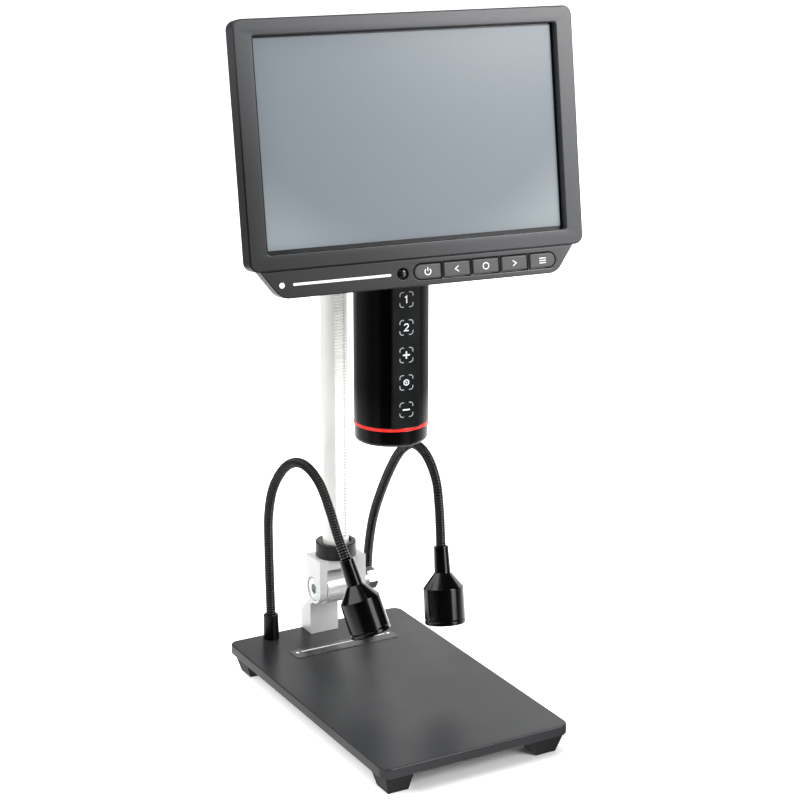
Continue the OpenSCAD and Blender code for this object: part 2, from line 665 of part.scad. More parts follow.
module barrel() color("#0f1011") difference() {
    union() {
        translate([0, 0, shell_low]) cylinder(h = tube_top - shell_low, r = tube_r);
        rotate([0, 0, -screen_yaw]) translate([0, 0, shell_low]) linear_extrude(panel_top - shell_low)
            polygon([[-panel_w / 2, -panel_back], [panel_w / 2, -panel_back],
                [panel_w / 2, -tube_r / 2], [-panel_w / 2, -tube_r / 2]]);
    }
    translate([0, 0, shell_low - 1]) cylinder(h = tube_top - shell_low - 2, r = tube_bore_r);
    translate([0, 0, tube_top - 4]) cylinder(h = 5, r = bracket_screw_r + seat);
}

module key_panel() color("#1f2224") rotate([0, 0, -screen_yaw])
    translate([-panel_w / 2, -panel_face, shell_low]) cube([panel_w, panel_t, panel_top - shell_low]);

module accent_ring() color("#f0281e") translate([0, 0, nose_top]) difference() {
    cylinder(h = accent_h, r = tube_r);
    translate([0, 0, -1]) cylinder(h = accent_h + 2, r = tube_bore_r + seat);
}

module nose_ring() color("#0f1011") difference() {
    union() {
        translate([0, 0, tube_z]) cylinder(h = 0.7, r1 = nose_r - 0.6, r2 = nose_r);
        translate([0, 0, tube_z + 0.7]) cylinder(h = nose_h - 0.7, r = nose_r);
        translate([0, 0, nose_top]) cylinder(h = accent_h + 8, r = tube_bore_r - seat);
    }
    translate([0, 0, tube_z - 1]) cylinder(h = 3.01, r1 = lens_r + 3, r2 = lens_r);
    translate([0, 0, tube_z + 2]) cylinder(h = lens_t + 1, r = lens_r + seat);
    translate([0, 0, tube_z + 2 + lens_t]) cylinder(h = nose_h + accent_h + 8, r = lens_r + 1 + fit);
}

module objective_lens() color("#aebfca") translate([0, 0, tube_z + 2]) {
    cylinder(h = lens_t, r = lens_r);
}

module lens_cell() color("#2a2c2e") difference() {
    translate([0, 0, tube_z + 2 + lens_t + seat])
        cylinder(h = cell_top - tube_z - 2 - lens_t - seat, r = lens_r + 1);
    translate([0, 0, tube_z]) cylinder(h = cell_top, r = lens_r - 2);
}

module sensor_board() color("#2f6b46") {
    translate([0, 0, cell_top]) cylinder(h = 1.6, r = tube_bore_r - 2 * seat);
    translate([-5, -5, cell_top - 1.6]) cube([10, 10, 1.6]);
    translate([-8, -6, cell_top + 1.6]) cube([16, 12, 4]);
}

module bracket_screw() color("#8d9092") {
    translate([0, 0, tube_top - 5]) cylinder(h = 5 + bracket_t + 0.1, r = bracket_screw_r);
    translate([0, 0, tube_top + bracket_t + 0.1]) difference() {
        cylinder(h = 2.6, r = 4.5);
        translate([0, 0, 1]) cylinder(h = 2, r = 2 / cos(30), $fn = 6);
    }
}

module tilt_bracket() color("#2a2c2e") rotate([0, 0, -screen_yaw]) difference() {
    union() {
        translate([-ear_in - ear_t, -16, tube_top + fit]) cube([2 * (ear_in + ear_t), 26, bracket_t - fit]);
        for (x = [-1, 1]) translate([x * (ear_in + ear_t / 2), 0, 0]) across(ear_t) {
            polygon([[-16, tube_top + bracket_t - 1], [0, tube_top + bracket_t - 1],
                [-tilt_fwd + ear_r, tilt_z], [-tilt_fwd - ear_r, tilt_z]]);
            translate([-tilt_fwd, tilt_z]) circle(ear_r);
        }
    }
    translate([0, 0, tube_top - 1]) cylinder(h = bracket_t + 2, r = bracket_screw_r + fit);
    translate([-2 * ear_in, -tilt_fwd, tilt_z]) rod_x(pin_r + seat, 4 * ear_in);
}

module tilt_pin() color("#9fa2a4") rotate([0, 0, -screen_yaw]) translate([0, -tilt_fwd, tilt_z]) {
    translate([-ear_in - ear_t - 1, 0, 0]) rod_x(pin_r, 2 * (ear_in + ear_t + 1));
    for (x = [-ear_in - ear_t - 1.6, ear_in + ear_t + 0.1]) translate([x, 0, 0]) rod_x(3.6, 1.5);
}

// ---- screen ----

module front_bezel() color("#4a4c4e") in_screen() difference() {
    union() {
        difference() {
            behind(0, screen_d) round_rect(screen_w, screen_h, screen_r);
            behind(glass_depth, screen_d) round_rect(pocket[0], pocket[1], screen_r - shell_t);
        }
        for (x = case_screw_x, z = [-1, 1]) translate([x, glass_depth - 0.5, z * boss_z])
            rod_y(case_boss_r, cover_y - glass_depth + 0.5);
    }
    behind(-1, glass_depth + 2) round_rect(window_w, window_h, 1.5);
    for (x = case_screw_x, z = [-1, 1]) translate([x, glass_depth + 0.8, z * boss_z])
        rod_y(case_screw_r + fit, screen_d);
    translate([30, glass_depth + 1, -screen_h / 2 + shell_t / 2]) cube([12, 5, shell_t + 1], center = true);
}

module bar_outline(inset) {
    r = bar_corner[2] - inset;
    half = bar_half - inset;
    turn = atan2(7.5, 9.4);
    right = [for (i = [0:8]) let (a = -turn - (90 - turn) * i / 8)
        [bar_corner[0] + r * cos(a), bar_corner[1] + r * sin(a)]];
    polygon(concat([[-half, -screen_h / 2], [half, -screen_h / 2]], right,
        [for (i = [8:-1:0]) [-right[i][0], right[i][1]]]));
}

// A key's outline: end -1 or 1 has that end round, 0 has both square.
module key_outline(end, grow) {
    w = key_w + 2 * grow;
    h = key_h + 2 * grow;
    if (end == 0) square([w, h], center = true);
    else {
        translate([-end * h / 4, 0]) square([w - h / 2, h], center = true);
        translate([end * (w - h) / 2, 0]) circle(h / 2);
    }
}
function key_end(k) = k == 0 ? -1 : k == key_names - 1 ? 1 : 0;

module control_bar() color("#47494b") in_screen() difference() {
    behind(bar_face, bar_depth) bar_outline(0);
    behind(bar_face + shell_t, bar_depth - 2 * shell_t) intersection() {
        bar_outline(shell_t);
        translate([-screen_w, bar_low + shell_t]) square([2 * screen_w, screen_h]);
    }
    for (k = [0:key_names - 1]) translate([key_x0 + k * key_pitch, 0, key_z])
        behind(0, bar_face + shell_t + 0.5) key_outline(key_end(k), key_sink);
    translate([ir_at[0], 0, ir_at[1]]) rod_y(3, bar_face + shell_t + 0.5);
}

// A key cap with a flange behind the bar's wall and a stem over its switch.
module key(k) color("#55565a") in_screen() translate([key_x0 + k * key_pitch, 0, key_z]) {
    behind(key_face, key_back - key_face + 0.5) key_outline(key_end(k), 0);
    behind(key_back, key_flange) key_outline(key_end(k), 0.45);
    translate([0, key_back + key_flange / 2, 0]) rod_y(1.5, key_flange / 2 + 0.8);
}
module power_key() key(0);
module left_key() key(1);
module ok_key() key(2);
module right_key() key(3);
module menu_key() key(4);

// Switch board behind the keys, with one switch under each stem.
module key_board() color("#2f6b46") in_screen() {
    translate([key_x0 - 10, key_board_y, key_z - 3.9]) cube([key_pitch * (key_names - 1) + 17, 1.2, 8.8]);
    for (k = [0:key_names - 1]) translate([key_x0 + k * key_pitch - 2.2, key_board_y - 0.6, key_z - 2.2])
        cube([4.4, 0.7, 4.4]);
}

module lcd_panel() color("#9aa3ad") in_screen()
    translate([-lcd[0] / 2, glass_depth, -lcd[1] / 2]) cube([lcd[0], lcd[2], lcd[1]]);

module back_cover() color("#232527") in_screen() difference() {
    union() {
        behind(cover_y, 2) round_rect(cover[0], cover[1], screen_r - shell_t);
        translate([0, 0, bump_z]) behind(cover_y + 1, bump_y - cover_y - 1) round_rect(bump[0], bump[1], 6);
    }
    translate([0, 0, bump_z]) difference() {
        behind(cover_y - 1, bump_y - cover_y - 1) round_rect(bump[0] - 4, bump[1] - 4, 4);
        for (x = [-1, 1], z = [-1, 1]) translate([x * 47, board_y + board[2], z * 19])
            rod_y(2.5, bump_y - board_y - board[2]);
    }
    for (x = case_screw_x, z = [-1, 1]) translate([x, 0, z * boss_z]) {
        rod_y(case_screw_r + 0.2, 30);
        translate([0, screen_d - 1.2, 0]) rod_y(2.6, 3);
    }
    for (k = [-6:6]) translate([k * 7, bump_y - 3, bump_z + 8]) cube([2.2, 8, 22], center = true);
    for (p = ports) translate([bump[0] / 2 - 1, board_y + board[2] + 2.45, p[0]])
        cube([6, 5.3, p[1] + 0.6], center = true);
}

module main_board() color("#2f6b46") in_screen() translate([0, board_y, bump_z]) {
    translate([-board[0] / 2, 0, -board[1] / 2]) cube([board[0], board[2], board[1]]);
    for (c = [[-30, -6, 16, 16], [-4, 6, 12, 12], [20, -8, 10, 14], [-42, 8, 8, 6]])
        translate([c[0], board[2] - 0.1, c[1]]) cube([c[2], 2.1, c[3]]);
}

// Video, power and card sockets: open metal mouths with a tongue inside.
module port_sockets() color("#8d9092") in_screen()
    for (s = ports) translate([bump[0] / 2 - 12, board_y + board[2] + 0.1, s[0]]) difference() {
            translate([0, 0, -s[1] / 2]) cube([13, 4.7, s[1]]);
            translate([2, 0.6, -s[1] / 2 + 0.6]) cube([12, 1.4, s[1] - 1.2]);
            translate([2, 2.7, -s[1] / 2 + 0.6]) cube([12, 1.4, s[1] - 1.2]);
        }

module tilt_lug() color("#2a2c2e") in_screen() difference() {
    union() {
        translate([-15, screen_d, lug_z - 9]) cube([30, 3, 19]);
        translate([-screen_x, 0, 0]) across(lug_w) {
            polygon([[screen_d + 1, lug_z - lug_r], [lug_y, lug_z - lug_r], [lug_y, lug_z + lug_r],
                [screen_d + 1, lug_z + lug_r]]);
            translate([lug_y, lug_z]) circle(lug_r);
        }
    }
    translate([-20, lug_y, lug_z]) rod_x(pin_r + fit, 40);
}

module back_screws() color("#77797b") in_screen() for (x = case_screw_x, z = [-1, 1])
    translate([x, 0, z * boss_z]) {
        translate([0, screen_d - 1.2, 0]) rod_y(2.4, 1.1);
        translate([0, glass_depth + 1.3, 0]) rod_y(case_screw_r, screen_d - 1.2 - glass_depth - 1);
    }

base_plate();
feet();
base_screws();
label_plate();
hinge_post();
left_boot();
right_boot();
boot_nuts();
driver_case();
driver_board();
lamp_inlet();
left_gooseneck();
right_gooseneck();
left_lamp_body();
left_lamp_bezel();
left_lamp_lens();
left_led_board();
right_lamp_body();
right_lamp_bezel();
right_lamp_lens();
right_led_board();
clevis_block();
pivot_bolt();
pivot_washer();
pivot_nut();
column_screw();
collar();
column_rod();
column_rack();
carriage();
barrel_clamp();
pinion_shaft();
left_focus_knob();
right_focus_knob();
clamp_knob();
lock_knob();
barrel();
key_panel();
accent_ring();
nose_ring();
lens_cell();
objective_lens();
sensor_board();
bracket_screw();
tilt_bracket();
tilt_pin();
front_bezel();
control_bar();
key_board();
lcd_panel();
back_cover();
main_board();
port_sockets();
tilt_lug();
back_screws();
power_key();
left_key();
ok_key();
right_key();
menu_key();
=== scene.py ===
"""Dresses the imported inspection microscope: finely modelled pieces, finishes, studio light and camera.

Lengths are millimetres in the model's own frame (+Z up, -Y front) unless a name or a docstring says
otherwise. Meshes are written in metres, with every object's origin at the frame's origin.
"""

import logging
import math
from dataclasses import dataclass, field
from enum import Enum
from typing import Any, Callable, Iterable, Optional, Sequence

import bmesh
import bpy
import numpy as np
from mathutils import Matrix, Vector
from mathutils.geometry import tessellate_polygon

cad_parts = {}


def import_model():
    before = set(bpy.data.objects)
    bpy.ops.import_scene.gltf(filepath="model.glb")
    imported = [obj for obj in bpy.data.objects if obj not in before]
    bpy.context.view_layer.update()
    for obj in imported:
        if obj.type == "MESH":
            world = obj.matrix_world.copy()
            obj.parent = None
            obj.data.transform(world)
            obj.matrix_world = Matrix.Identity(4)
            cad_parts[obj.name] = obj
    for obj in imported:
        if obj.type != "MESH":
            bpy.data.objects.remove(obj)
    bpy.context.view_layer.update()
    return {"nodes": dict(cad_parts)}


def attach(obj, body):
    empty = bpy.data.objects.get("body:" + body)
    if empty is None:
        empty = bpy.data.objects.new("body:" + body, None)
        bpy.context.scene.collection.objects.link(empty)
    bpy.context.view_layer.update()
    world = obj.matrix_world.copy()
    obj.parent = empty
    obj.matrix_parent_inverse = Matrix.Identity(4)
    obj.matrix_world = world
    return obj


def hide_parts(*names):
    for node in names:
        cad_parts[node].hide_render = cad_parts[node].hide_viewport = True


LOG = logging.getLogger("microscope")
MM = 0.001

Place = Callable[[np.ndarray], np.ndarray]
Pair = tuple[float, float]
Vec3 = tuple[float, float, float]
Strokes = list[list[np.ndarray]]


class Body(str, Enum):
    """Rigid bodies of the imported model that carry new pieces, apart from the keys."""

    BASE = "base"
    COLUMN = "column"
    LEFT_ARM = "left_arm"
    RIGHT_ARM = "right_arm"
    LEFT_LAMP = "left_lamp"
    RIGHT_LAMP = "right_lamp"
    HEAD = "head"
    SCREEN = "screen"


class Key(str, Enum):
    """Keys of the screen's key bar, from left to right."""

    POWER = "power"
    LEFT = "left"
    OK = "ok"
    RIGHT = "right"
    MENU = "menu"


class Axis(Enum):
    """Axes of the frame."""

    X = 0
    Y = 1
    Z = 2


# ---------------------------------------------------------------------------------------------
# Places: maps from a piece's own coordinates to the model's frame
# ---------------------------------------------------------------------------------------------

SCREEN_YAW = 5.9
SCREEN_LEAN = 9.4
SCREEN_AT = (0.4, -32.3, 345.5)


def turn(axis: Axis, degrees: float) -> np.ndarray:
    """Rotation matrix about a frame axis.

    Args:
        axis: The axis that stays where it is.
        degrees: Angle by the right-hand rule.

    Returns:
        A 3x3 matrix for column vectors.
    """
    c, s = math.cos(math.radians(degrees)), math.sin(math.radians(degrees))
    i, j = (axis.value + 1) % 3, (axis.value + 2) % 3
    matrix = np.eye(3)
    matrix[i, i] = matrix[j, j] = c
    matrix[i, j], matrix[j, i] = -s, s
    return matrix


def placed(matrix: np.ndarray, offset: Sequence[float] = (0, 0, 0)) -> Place:
    """A place that turns points by a matrix and then moves them.

    Args:
        matrix: A 3x3 matrix for column vectors.
        offset: Where the piece's own origin goes.

    Returns:
        The map from points as rows to points as rows.
    """
    shift = np.asarray(offset, float)
    return lambda points: points @ matrix.T + shift


def moved_by(offset: Sequence[float]) -> Place:
    """A place that only moves points."""
    return placed(np.eye(3), offset)


# Columns say where a piece's own x, y and depth axes point.
FACING_FRONT = np.array([[1, 0, 0], [0, 0, 1], [0, 1, 0]], float)
ACROSS = np.array([[0, 0, 1], [1, 0, 0], [0, 1, 0]], float)
ALONG_X = np.array([[0, 0, 1], [0, 1, 0], [-1, 0, 0]], float)

YAW_TURN = turn(Axis.Z, -SCREEN_YAW)
ON_SCREEN = placed(YAW_TURN @ turn(Axis.X, -SCREEN_LEAN) @ FACING_FRONT, YAW_TURN @ np.array(SCREEN_AT))
ON_TUBE = placed(YAW_TURN @ FACING_FRONT)


def on_screen_metres(x: float, z: float, depth: float) -> tuple[float, ...]:
    """A point given from the screen's middle, in metres in the model's frame."""
    return tuple((ON_SCREEN(np.array([[x, z, depth]]))[0] * MM).tolist())


# ---------------------------------------------------------------------------------------------
# Outlines
# ---------------------------------------------------------------------------------------------

# Least divisor of a mitre, which keeps the tip of a sharp corner short.
MITRE_FLOOR = 0.35
# Half angle, in degrees, past which a corner counts as a straight run.
STRAIGHT_HALF = 89


def arc(x: float, y: float, r: float, start: float, end: float, steps: int) -> np.ndarray:
    """Points on a circle's arc: its centre plus the radius times (cos, sin) of even angles.

    Args:
        x: Centre, first coordinate.
        y: Centre, second coordinate.
        r: Radius.
        start: First angle in degrees.
        end: Last angle in degrees.
        steps: Segments in the arc.

    Returns:
        Points as rows, both ends included.
    """
    angles = np.radians(np.linspace(start, end, steps + 1))
    return np.column_stack([x + r * np.cos(angles), y + r * np.sin(angles)])


def circle(r: float, steps: int = 64, x: float = 0.0, y: float = 0.0) -> np.ndarray:
    """A closed circle, counter-clockwise, as an arc of 360 degrees without its last point."""
    return arc(x, y, r, 0, 360, steps)[:-1]


def rounded(points: Sequence[Vec3], steps: int = 8) -> np.ndarray:
    """A polygon whose corners are arcs that touch both of their edges.

    The arc's centre lies on the corner's bisector, at the radius over the sine of the half angle.

    Args:
        points: Corners as (x, y, radius), in order.
        steps: Segments in each rounded corner.

    Returns:
        The outline as rows of points.
    """
    out: list[np.ndarray] = []
    corners = np.array(points, float)
    places = corners[:, :2]
    neighbours = zip(np.roll(places, 1, axis=0), np.roll(places, -1, axis=0))
    for here, (behind, next_one), r in zip(places, neighbours, corners[:, 2]):
        back = (behind - here) / np.linalg.norm(behind - here)
        ahead = (next_one - here) / np.linalg.norm(next_one - here)
        half = math.acos(float(np.clip(back @ ahead, -1, 1))) / 2
        if r <= 0 or half > math.radians(STRAIGHT_HALF):
            out.append(here[None])
            continue
        reach = r / math.tan(half)
        centre = here + (back + ahead) / np.linalg.norm(back + ahead) * (r / math.sin(half))
        a, b = here + back * reach - centre, here + ahead * reach - centre
        sweep = math.atan2(a[0] * b[1] - a[1] * b[0], a @ b)
        angles = math.atan2(a[1], a[0]) + sweep * np.arange(steps + 1) / steps
        out.append(centre + r * np.column_stack([np.cos(angles), np.sin(angles)]))
    return np.vstack(out)


def box_corners(x0: float, x1: float, y0: float, y1: float, radii: Sequence[float]) -> list[Vec3]:
    """Corners of a rectangle, each with its own radius.

    Args:
        x0: Lowest first coordinate.
        x1: Highest first coordinate.
        y0: Lowest second coordinate.
        y1: Highest second coordinate.
        radii: Radii of the corners, counter-clockwise from the lowest on both axes.

    Returns:
        Corners as (x, y, radius), counter-clockwise.
    """
    return [(x, y, r) for (x, y), r in zip(((x0, y0), (x1, y0), (x1, y1), (x0, y1)), radii)]


def round_rect(w: float, h: float, r: float, x: float = 0.0, y: float = 0.0, steps: int = 8) -> np.ndarray:
    """A rectangle with round corners, counter-clockwise.

    Args:
        w: Width.
        h: Height.
        r: Radius of the corners.
        x: Middle, first coordinate.
        y: Middle, second coordinate.
        steps: Segments in each corner.

    Returns:
        The outline as rows of points.
    """
    return rounded(box_corners(x - w / 2, x + w / 2, y - h / 2, y + h / 2, (r, r, r, r)), steps)


def signed_area(loop: np.ndarray) -> float:
    """Area of a closed outline, positive when it runs counter-clockwise."""
    x, y = loop[:, 0], loop[:, 1]
    return float(0.5 * (x @ np.roll(y, -1) - y @ np.roll(x, -1)))


def mitred(before: np.ndarray, after: np.ndarray) -> np.ndarray:
    """Shift of a corner that moves both of its edges by one.

    It is the sum of the edges' normals over one plus their product.

    Args:
        before: Normals of the edges before each corner.
        after: Normals of the edges after it.

    Returns:
        One shift for each corner.
    """
    return (before + after) / np.maximum(1 + (before * after).sum(1, keepdims=True), MITRE_FLOOR)


def inset(loop: np.ndarray, distance: float) -> np.ndarray:
    """Moves a closed outline to its left by a distance, with mitred corners.

    Args:
        loop: The outline as rows of points.
        distance: How far to move it, negative to its right.

    Returns:
        The moved outline with as many points.
    """
    edge = np.roll(loop, -1, axis=0) - loop
    edge /= np.maximum(np.linalg.norm(edge, axis=1, keepdims=True), 1e-9)
    normal = np.stack([-edge[:, 1], edge[:, 0]], axis=1)
    return loop + mitred(normal, np.roll(normal, 1, axis=0)) * distance


# ---------------------------------------------------------------------------------------------
# Solids
# ---------------------------------------------------------------------------------------------

# Radius under which a profile's point lies on its axis.
ON_AXIS = 1e-6
# Takes the depth out of a point.
LAID_FLAT = np.array([1.0, 1.0, 0.0])


@dataclass
class Solid:
    """Points and faces of closed shells, in millimetres.

    Attributes:
        points: Points as rows.
        faces: Each face as its points' numbers, in order round it.
    """

    points: np.ndarray
    faces: list[list[int]]

    def moved(self, place: Place) -> "Solid":
        """The same shells after a place's map."""
        return Solid(place(self.points), self.faces)


def joined(solids: Iterable[Solid]) -> Solid:
    """Puts several solids into one.

    Args:
        solids: The solids, in order.

    Returns:
        One solid that holds all of their shells.
    """
    points: list[np.ndarray] = []
    faces: list[list[int]] = []
    start = 0
    for solid in solids:
        points.append(solid.points)
        faces.extend([i + start for i in face] for face in solid.faces)
        start += len(solid.points)
    return Solid(np.vstack(points), faces)


def band(low: np.ndarray, high: np.ndarray) -> list[list[int]]:
    """Faces between two rings: four-sided ones, or triangles where one ring is a single point.

    Args:
        low: Point numbers round the first ring, all the same if it is a single point.
        high: Point numbers round the second ring, as many.

    Returns:
        One face for each step round the rings.
    """
    quads = np.column_stack([low, np.roll(low, -1), np.roll(high, -1), high])
    if low[0] == low[-1]:
        return quads[:, 1:].tolist()
    if high[0] == high[-1]:
        return quads[:, :3].tolist()
    return quads.tolist()


def rim_levels(depth: Pair, bevel: float, back_bevel: float, steps: int) -> list[Pair]:
    """Levels of a plate's wall: a quarter circle at each rim, or one level where a rim is sharp.

    Args:
        depth: Lowest and highest depth.
        bevel: Radius of the rim at the lowest depth.
        back_bevel: Radius of the rim at the highest depth.
        steps: Segments across a rim.

    Returns:
        Pairs of how far the outline moves in and the depth, from the lowest depth to the highest.
    """
    low, high = depth
    quarter = [math.radians(90 * k / steps) for k in range(steps + 1)]
    front = [(bevel * (1 - math.sin(a)), low + bevel * (1 - math.cos(a))) for a in quarter]
    back = [(back_bevel * (1 - math.cos(a)), high - back_bevel * (1 - math.sin(a))) for a in quarter]
    return (front if bevel > 0 else [(0.0, low)]) + (back if back_bevel > 0 else [(0.0, high)])


def plate(
    outer: np.ndarray,
    depth: Pair,
    holes: Sequence[np.ndarray] = (),
    bevel: float = 0.0,
    back_bevel: Optional[float] = None,
    steps: int = 3,
) -> Solid:
    """A flat solid with rounded rims round its outline and its holes.

    Args:
        outer: The outline.
        depth: Lowest and highest depth.
        holes: Outlines of through holes.
        bevel: Radius of the rims at the lowest depth.
        back_bevel: Radius of the rims at the highest depth, the same as bevel if left out.
        steps: Segments across a rim.

    Returns:
        A closed shell in (x, y, depth).
    """
    levels = rim_levels(depth, bevel, bevel if back_bevel is None else back_bevel, steps)
    loops = [outer if signed_area(outer) > 0 else outer[::-1]]
    loops += [hole[::-1] if signed_area(hole) > 0 else hole for hole in holes]
    points: list[np.ndarray] = []
    faces: list[list[int]] = []
    caps: tuple[list[np.ndarray], list[np.ndarray]] = ([], [])
    start = 0
    for loop in loops:
        n = len(loop)
        for shrink, z in levels:
            ring = inset(loop, shrink) if shrink > 1e-9 else loop
            points.append(np.column_stack([ring, np.full(n, z)]))
        rings = np.arange(start, start + n * len(levels)).reshape(len(levels), n)
        for low, high in zip(rings, rings[1:]):
            faces += band(low, high)
        caps[0].append(rings[0])
        caps[1].append(rings[-1])
        start += rings.size
    cloud = np.vstack(points)
    for ends in caps:
        numbers = np.concatenate(ends)
        flat = [(cloud[ring] * LAID_FLAT).tolist() for ring in ends]
        faces += numbers[np.array(tessellate_polygon(flat))].tolist()
    return Solid(cloud, faces)


def lathe(profile: Sequence[Sequence[float]], steps: int = 96, closed: bool = False) -> Solid:
    """Turns a profile about the third axis: each point becomes a ring, or one point on the axis.

    Args:
        profile: Points of the section as (radius, height). An open one starts and ends on the axis.
        steps: Segments round the axis.
        closed: True if the profile is a closed loop off the axis.

    Returns:
        A closed shell.
    """
    angles = np.linspace(0, 2 * math.pi, steps, endpoint=False)
    points: list[np.ndarray] = []
    rings: list[np.ndarray] = []
    count = 0
    for r, z in profile:
        turns = angles[: 1 if r < ON_AXIS else steps]
        points.append(np.column_stack([r * np.cos(turns), r * np.sin(turns), np.full(len(turns), z)]))
        rings.append(np.resize(np.arange(count, count + len(turns)), steps))
        count += len(turns)
    faces: list[list[int]] = []
    for low, high in zip(rings, rings[1:] + rings[: 1 if closed else 0]):
        faces += band(low, high)
    return Solid(np.vstack(points), faces)


def turned(points: Sequence[Vec3], steps: int = 4) -> Solid:
    """A solid turned from a profile of (radius, height, fillet) that runs from axis to axis."""
    out = rounded(points, steps)
    return lathe(np.column_stack([np.maximum(out[:, 0], 0.0), out[:, 1]]))


def turned_ring(points: Sequence[Vec3], steps: int = 4, sides: int = 96) -> Solid:
    """A ring turned from a closed profile of (radius, height, fillet) off the axis."""
    return lathe(rounded(points, steps), sides, closed=True)


def spline(points: Sequence[Sequence[float]], steps: int = 12) -> np.ndarray:
    """A smooth curve through points: on each run, the cubic whose ends slope as their neighbours do.

    Args:
        points: Points in order.
        steps: Segments between two points.

    Returns:
        Points of the curve as rows.
    """
    p = np.asarray(points, float)
    t = np.arange(steps)[:, None] / steps
    runs = [
        0.5 * (2 * b + (c - a) * t + (2 * a - 5 * b + 4 * c - d) * t**2 + (3 * b - a - 3 * c + d) * t**3)
        for a, b, c, d in zip(np.vstack([p[:1], p]), p, p[1:], np.vstack([p[2:], p[-1:]]))
    ]
    return np.vstack([*runs, p[-1:]])


def resampled(path: np.ndarray, spacing: float) -> np.ndarray:
    """A path with its points evenly spaced along it.

    Args:
        path: Points as rows.
        spacing: Distance between two points of the result, about.

    Returns:
        Points as rows.
    """
    run = np.concatenate([[0], np.cumsum(np.linalg.norm(np.diff(path, axis=0), axis=1))])
    marks = np.linspace(0, run[-1], max(2, int(round(run[-1] / spacing)) + 1))
    return np.column_stack([np.interp(marks, run, path[:, k]) for k in range(3)])


def swept(path: np.ndarray, radii: np.ndarray, sides: int) -> Solid:
    """A round tube: each path point plus its radius times cos u + sin v, square to the path.

    Args:
        path: Points as rows.
        radii: The tube's radius at each point.
        sides: Segments round the tube.

    Returns:
        A closed shell with flat ends.
    """
    ahead = np.gradient(path, axis=0)
    ahead /= np.linalg.norm(ahead, axis=1, keepdims=True)
    u = np.cross([1.0, 0.0, 0.0], ahead)
    u /= np.linalg.norm(u, axis=1, keepdims=True)
    v = np.cross(ahead, u)
    angle = np.linspace(0, 2 * math.pi, sides, endpoint=False)[None, :, None]
    points = path[:, None] + radii[:, None, None] * (np.cos(angle) * u[:, None] + np.sin(angle) * v[:, None])
    rings = np.arange(len(path) * sides).reshape(len(path), sides)
    faces = [face for low, high in zip(rings, rings[1:]) for face in band(low, high)]
    return Solid(points.reshape(-1, 3), [*faces, rings[0].tolist(), rings[-1].tolist()])


def stroke(points: Sequence[Sequence[float]], width: float, closed: bool = False) -> list[np.ndarray]:
    """Outlines of a printed line of even width.

    Args:
        points: The line's middle.
        width: The line's width.
        closed: True if the line runs back to its start.

    Returns:
        The outer outline, and the hole's outline if the line is closed.
    """
    path = np.asarray(points, float)
    if closed:
        return [inset(path, -width / 2), inset(path, width / 2)]
    edge = np.diff(path, axis=0)
    edge /= np.linalg.norm(edge, axis=1, keepdims=True)
    normal = np.column_stack([-edge[:, 1], edge[:, 0]])
    side = mitred(np.vstack([normal[:1], normal]), np.vstack([normal, normal[-1:]])) * width / 2
    return [np.vstack([path - side, (path + side)[::-1]])]


def print_mark(strokes: Strokes, depth: float, thickness: float = 0.05) -> Solid:
    """A printed mark: each stroke is a thin plate that stands out in front of a surface at a depth."""
    return joined(plate(s[0], (depth - thickness, depth), s[1:]) for s in strokes)


# ---------------------------------------------------------------------------------------------
# Finishes
# ---------------------------------------------------------------------------------------------

BLACK = (0.0, 0.0, 0.0)
# Range of a noise texture's output that the second colour and the roughness spread over.
NOISE_SPAN = (0.2, 0.8)
# The same for a mesh's crest attribute, which is 0 in a groove and 1 on a rib.
CREST_SPAN = (0.1, 1.0)
PATCH_DETAIL = 1.0
GRAIN_DETAIL = 4.0
LEAST_ROUGHNESS = 0.02
CREST = "crest"


# The display's curve: a straight run up to its knee, then a shifted power.
KNEE = 0.04045
SLOPE = 12.92
SHIFT = 0.055
POWER = 2.4


def shade(r: float, g: float, b: float) -> Vec3:
    """Linear colour from display values, by the display's curve.

    Args:
        r: Red of 0 to 255.
        g: Green of 0 to 255.
        b: Blue of 0 to 255.

    Returns:
        Linear red, green and blue of 0 to 1.
    """
    v = np.array([r, g, b]) / 255
    linear = np.where(v <= KNEE, v / SLOPE, ((v + SHIFT) / (1 + SHIFT)) ** POWER)
    return float(linear[0]), float(linear[1]), float(linear[2])


class Brushed(Enum):
    """Way that a grain is drawn out, as scales of its coordinates."""

    ALONG_X = (0.03, 1, 1)
    ALONG_Z = (1, 1, 0.03)


@dataclass(frozen=True)
class Finish:
    """What a surface is made of and how it is finished.

    Attributes:
        name: Name of the material.
        colour: Linear base colour.
        metallic: 0 for plastic and paint, 1 for bare metal.
        roughness: Mean roughness.
        uneven: Half range of the roughness over the surface.
        mottle_and_painted_light: How much the second colour shows, as a share: random mottle under noise, and
            painted light where crests or a middle place it.
        mottle_mm: Size of the colour patches.
        grain_mm: Size of the fine grain.
        relief_mm: Height of the fine grain.
        brushed: Way that the grain is drawn out, if any.
        coat: Weight of a clear coat.
        coat_roughness: Roughness of the clear coat.
        specular: Specular level.
        transmission: Transmission weight.
        tint: Second colour, black if left out: that of the random mottle, and of the painted light where
            crests or a middle are set.
        crests: True where the second colour and the shine follow the mesh's crest attribute; the second
            colour is then painted highlights on the ribs.
        middle: Where set, the second colour grows with the distance from this point, in metres; it is then
            painted shade on the housing and a painted reflection on the display.
        reach: Distances from that point between which it grows, in metres.
    """

    name: str
    colour: Vec3
    metallic: float = 0.0
    roughness: float = 0.5
    uneven: float = 0.05
    mottle_and_painted_light: float = 0.12
    mottle_mm: float = 12.0
    grain_mm: float = 0.35
    relief_mm: float = 0.01
    brushed: Optional[Brushed] = None
    coat: float = 0.0
    coat_roughness: float = 0.1
    specular: float = 0.5
    transmission: float = 0.0
    tint: Optional[Vec3] = None
    crests: bool = False
    middle: Optional[tuple[float, ...]] = None
    reach: Pair = (0.1, 0.14)


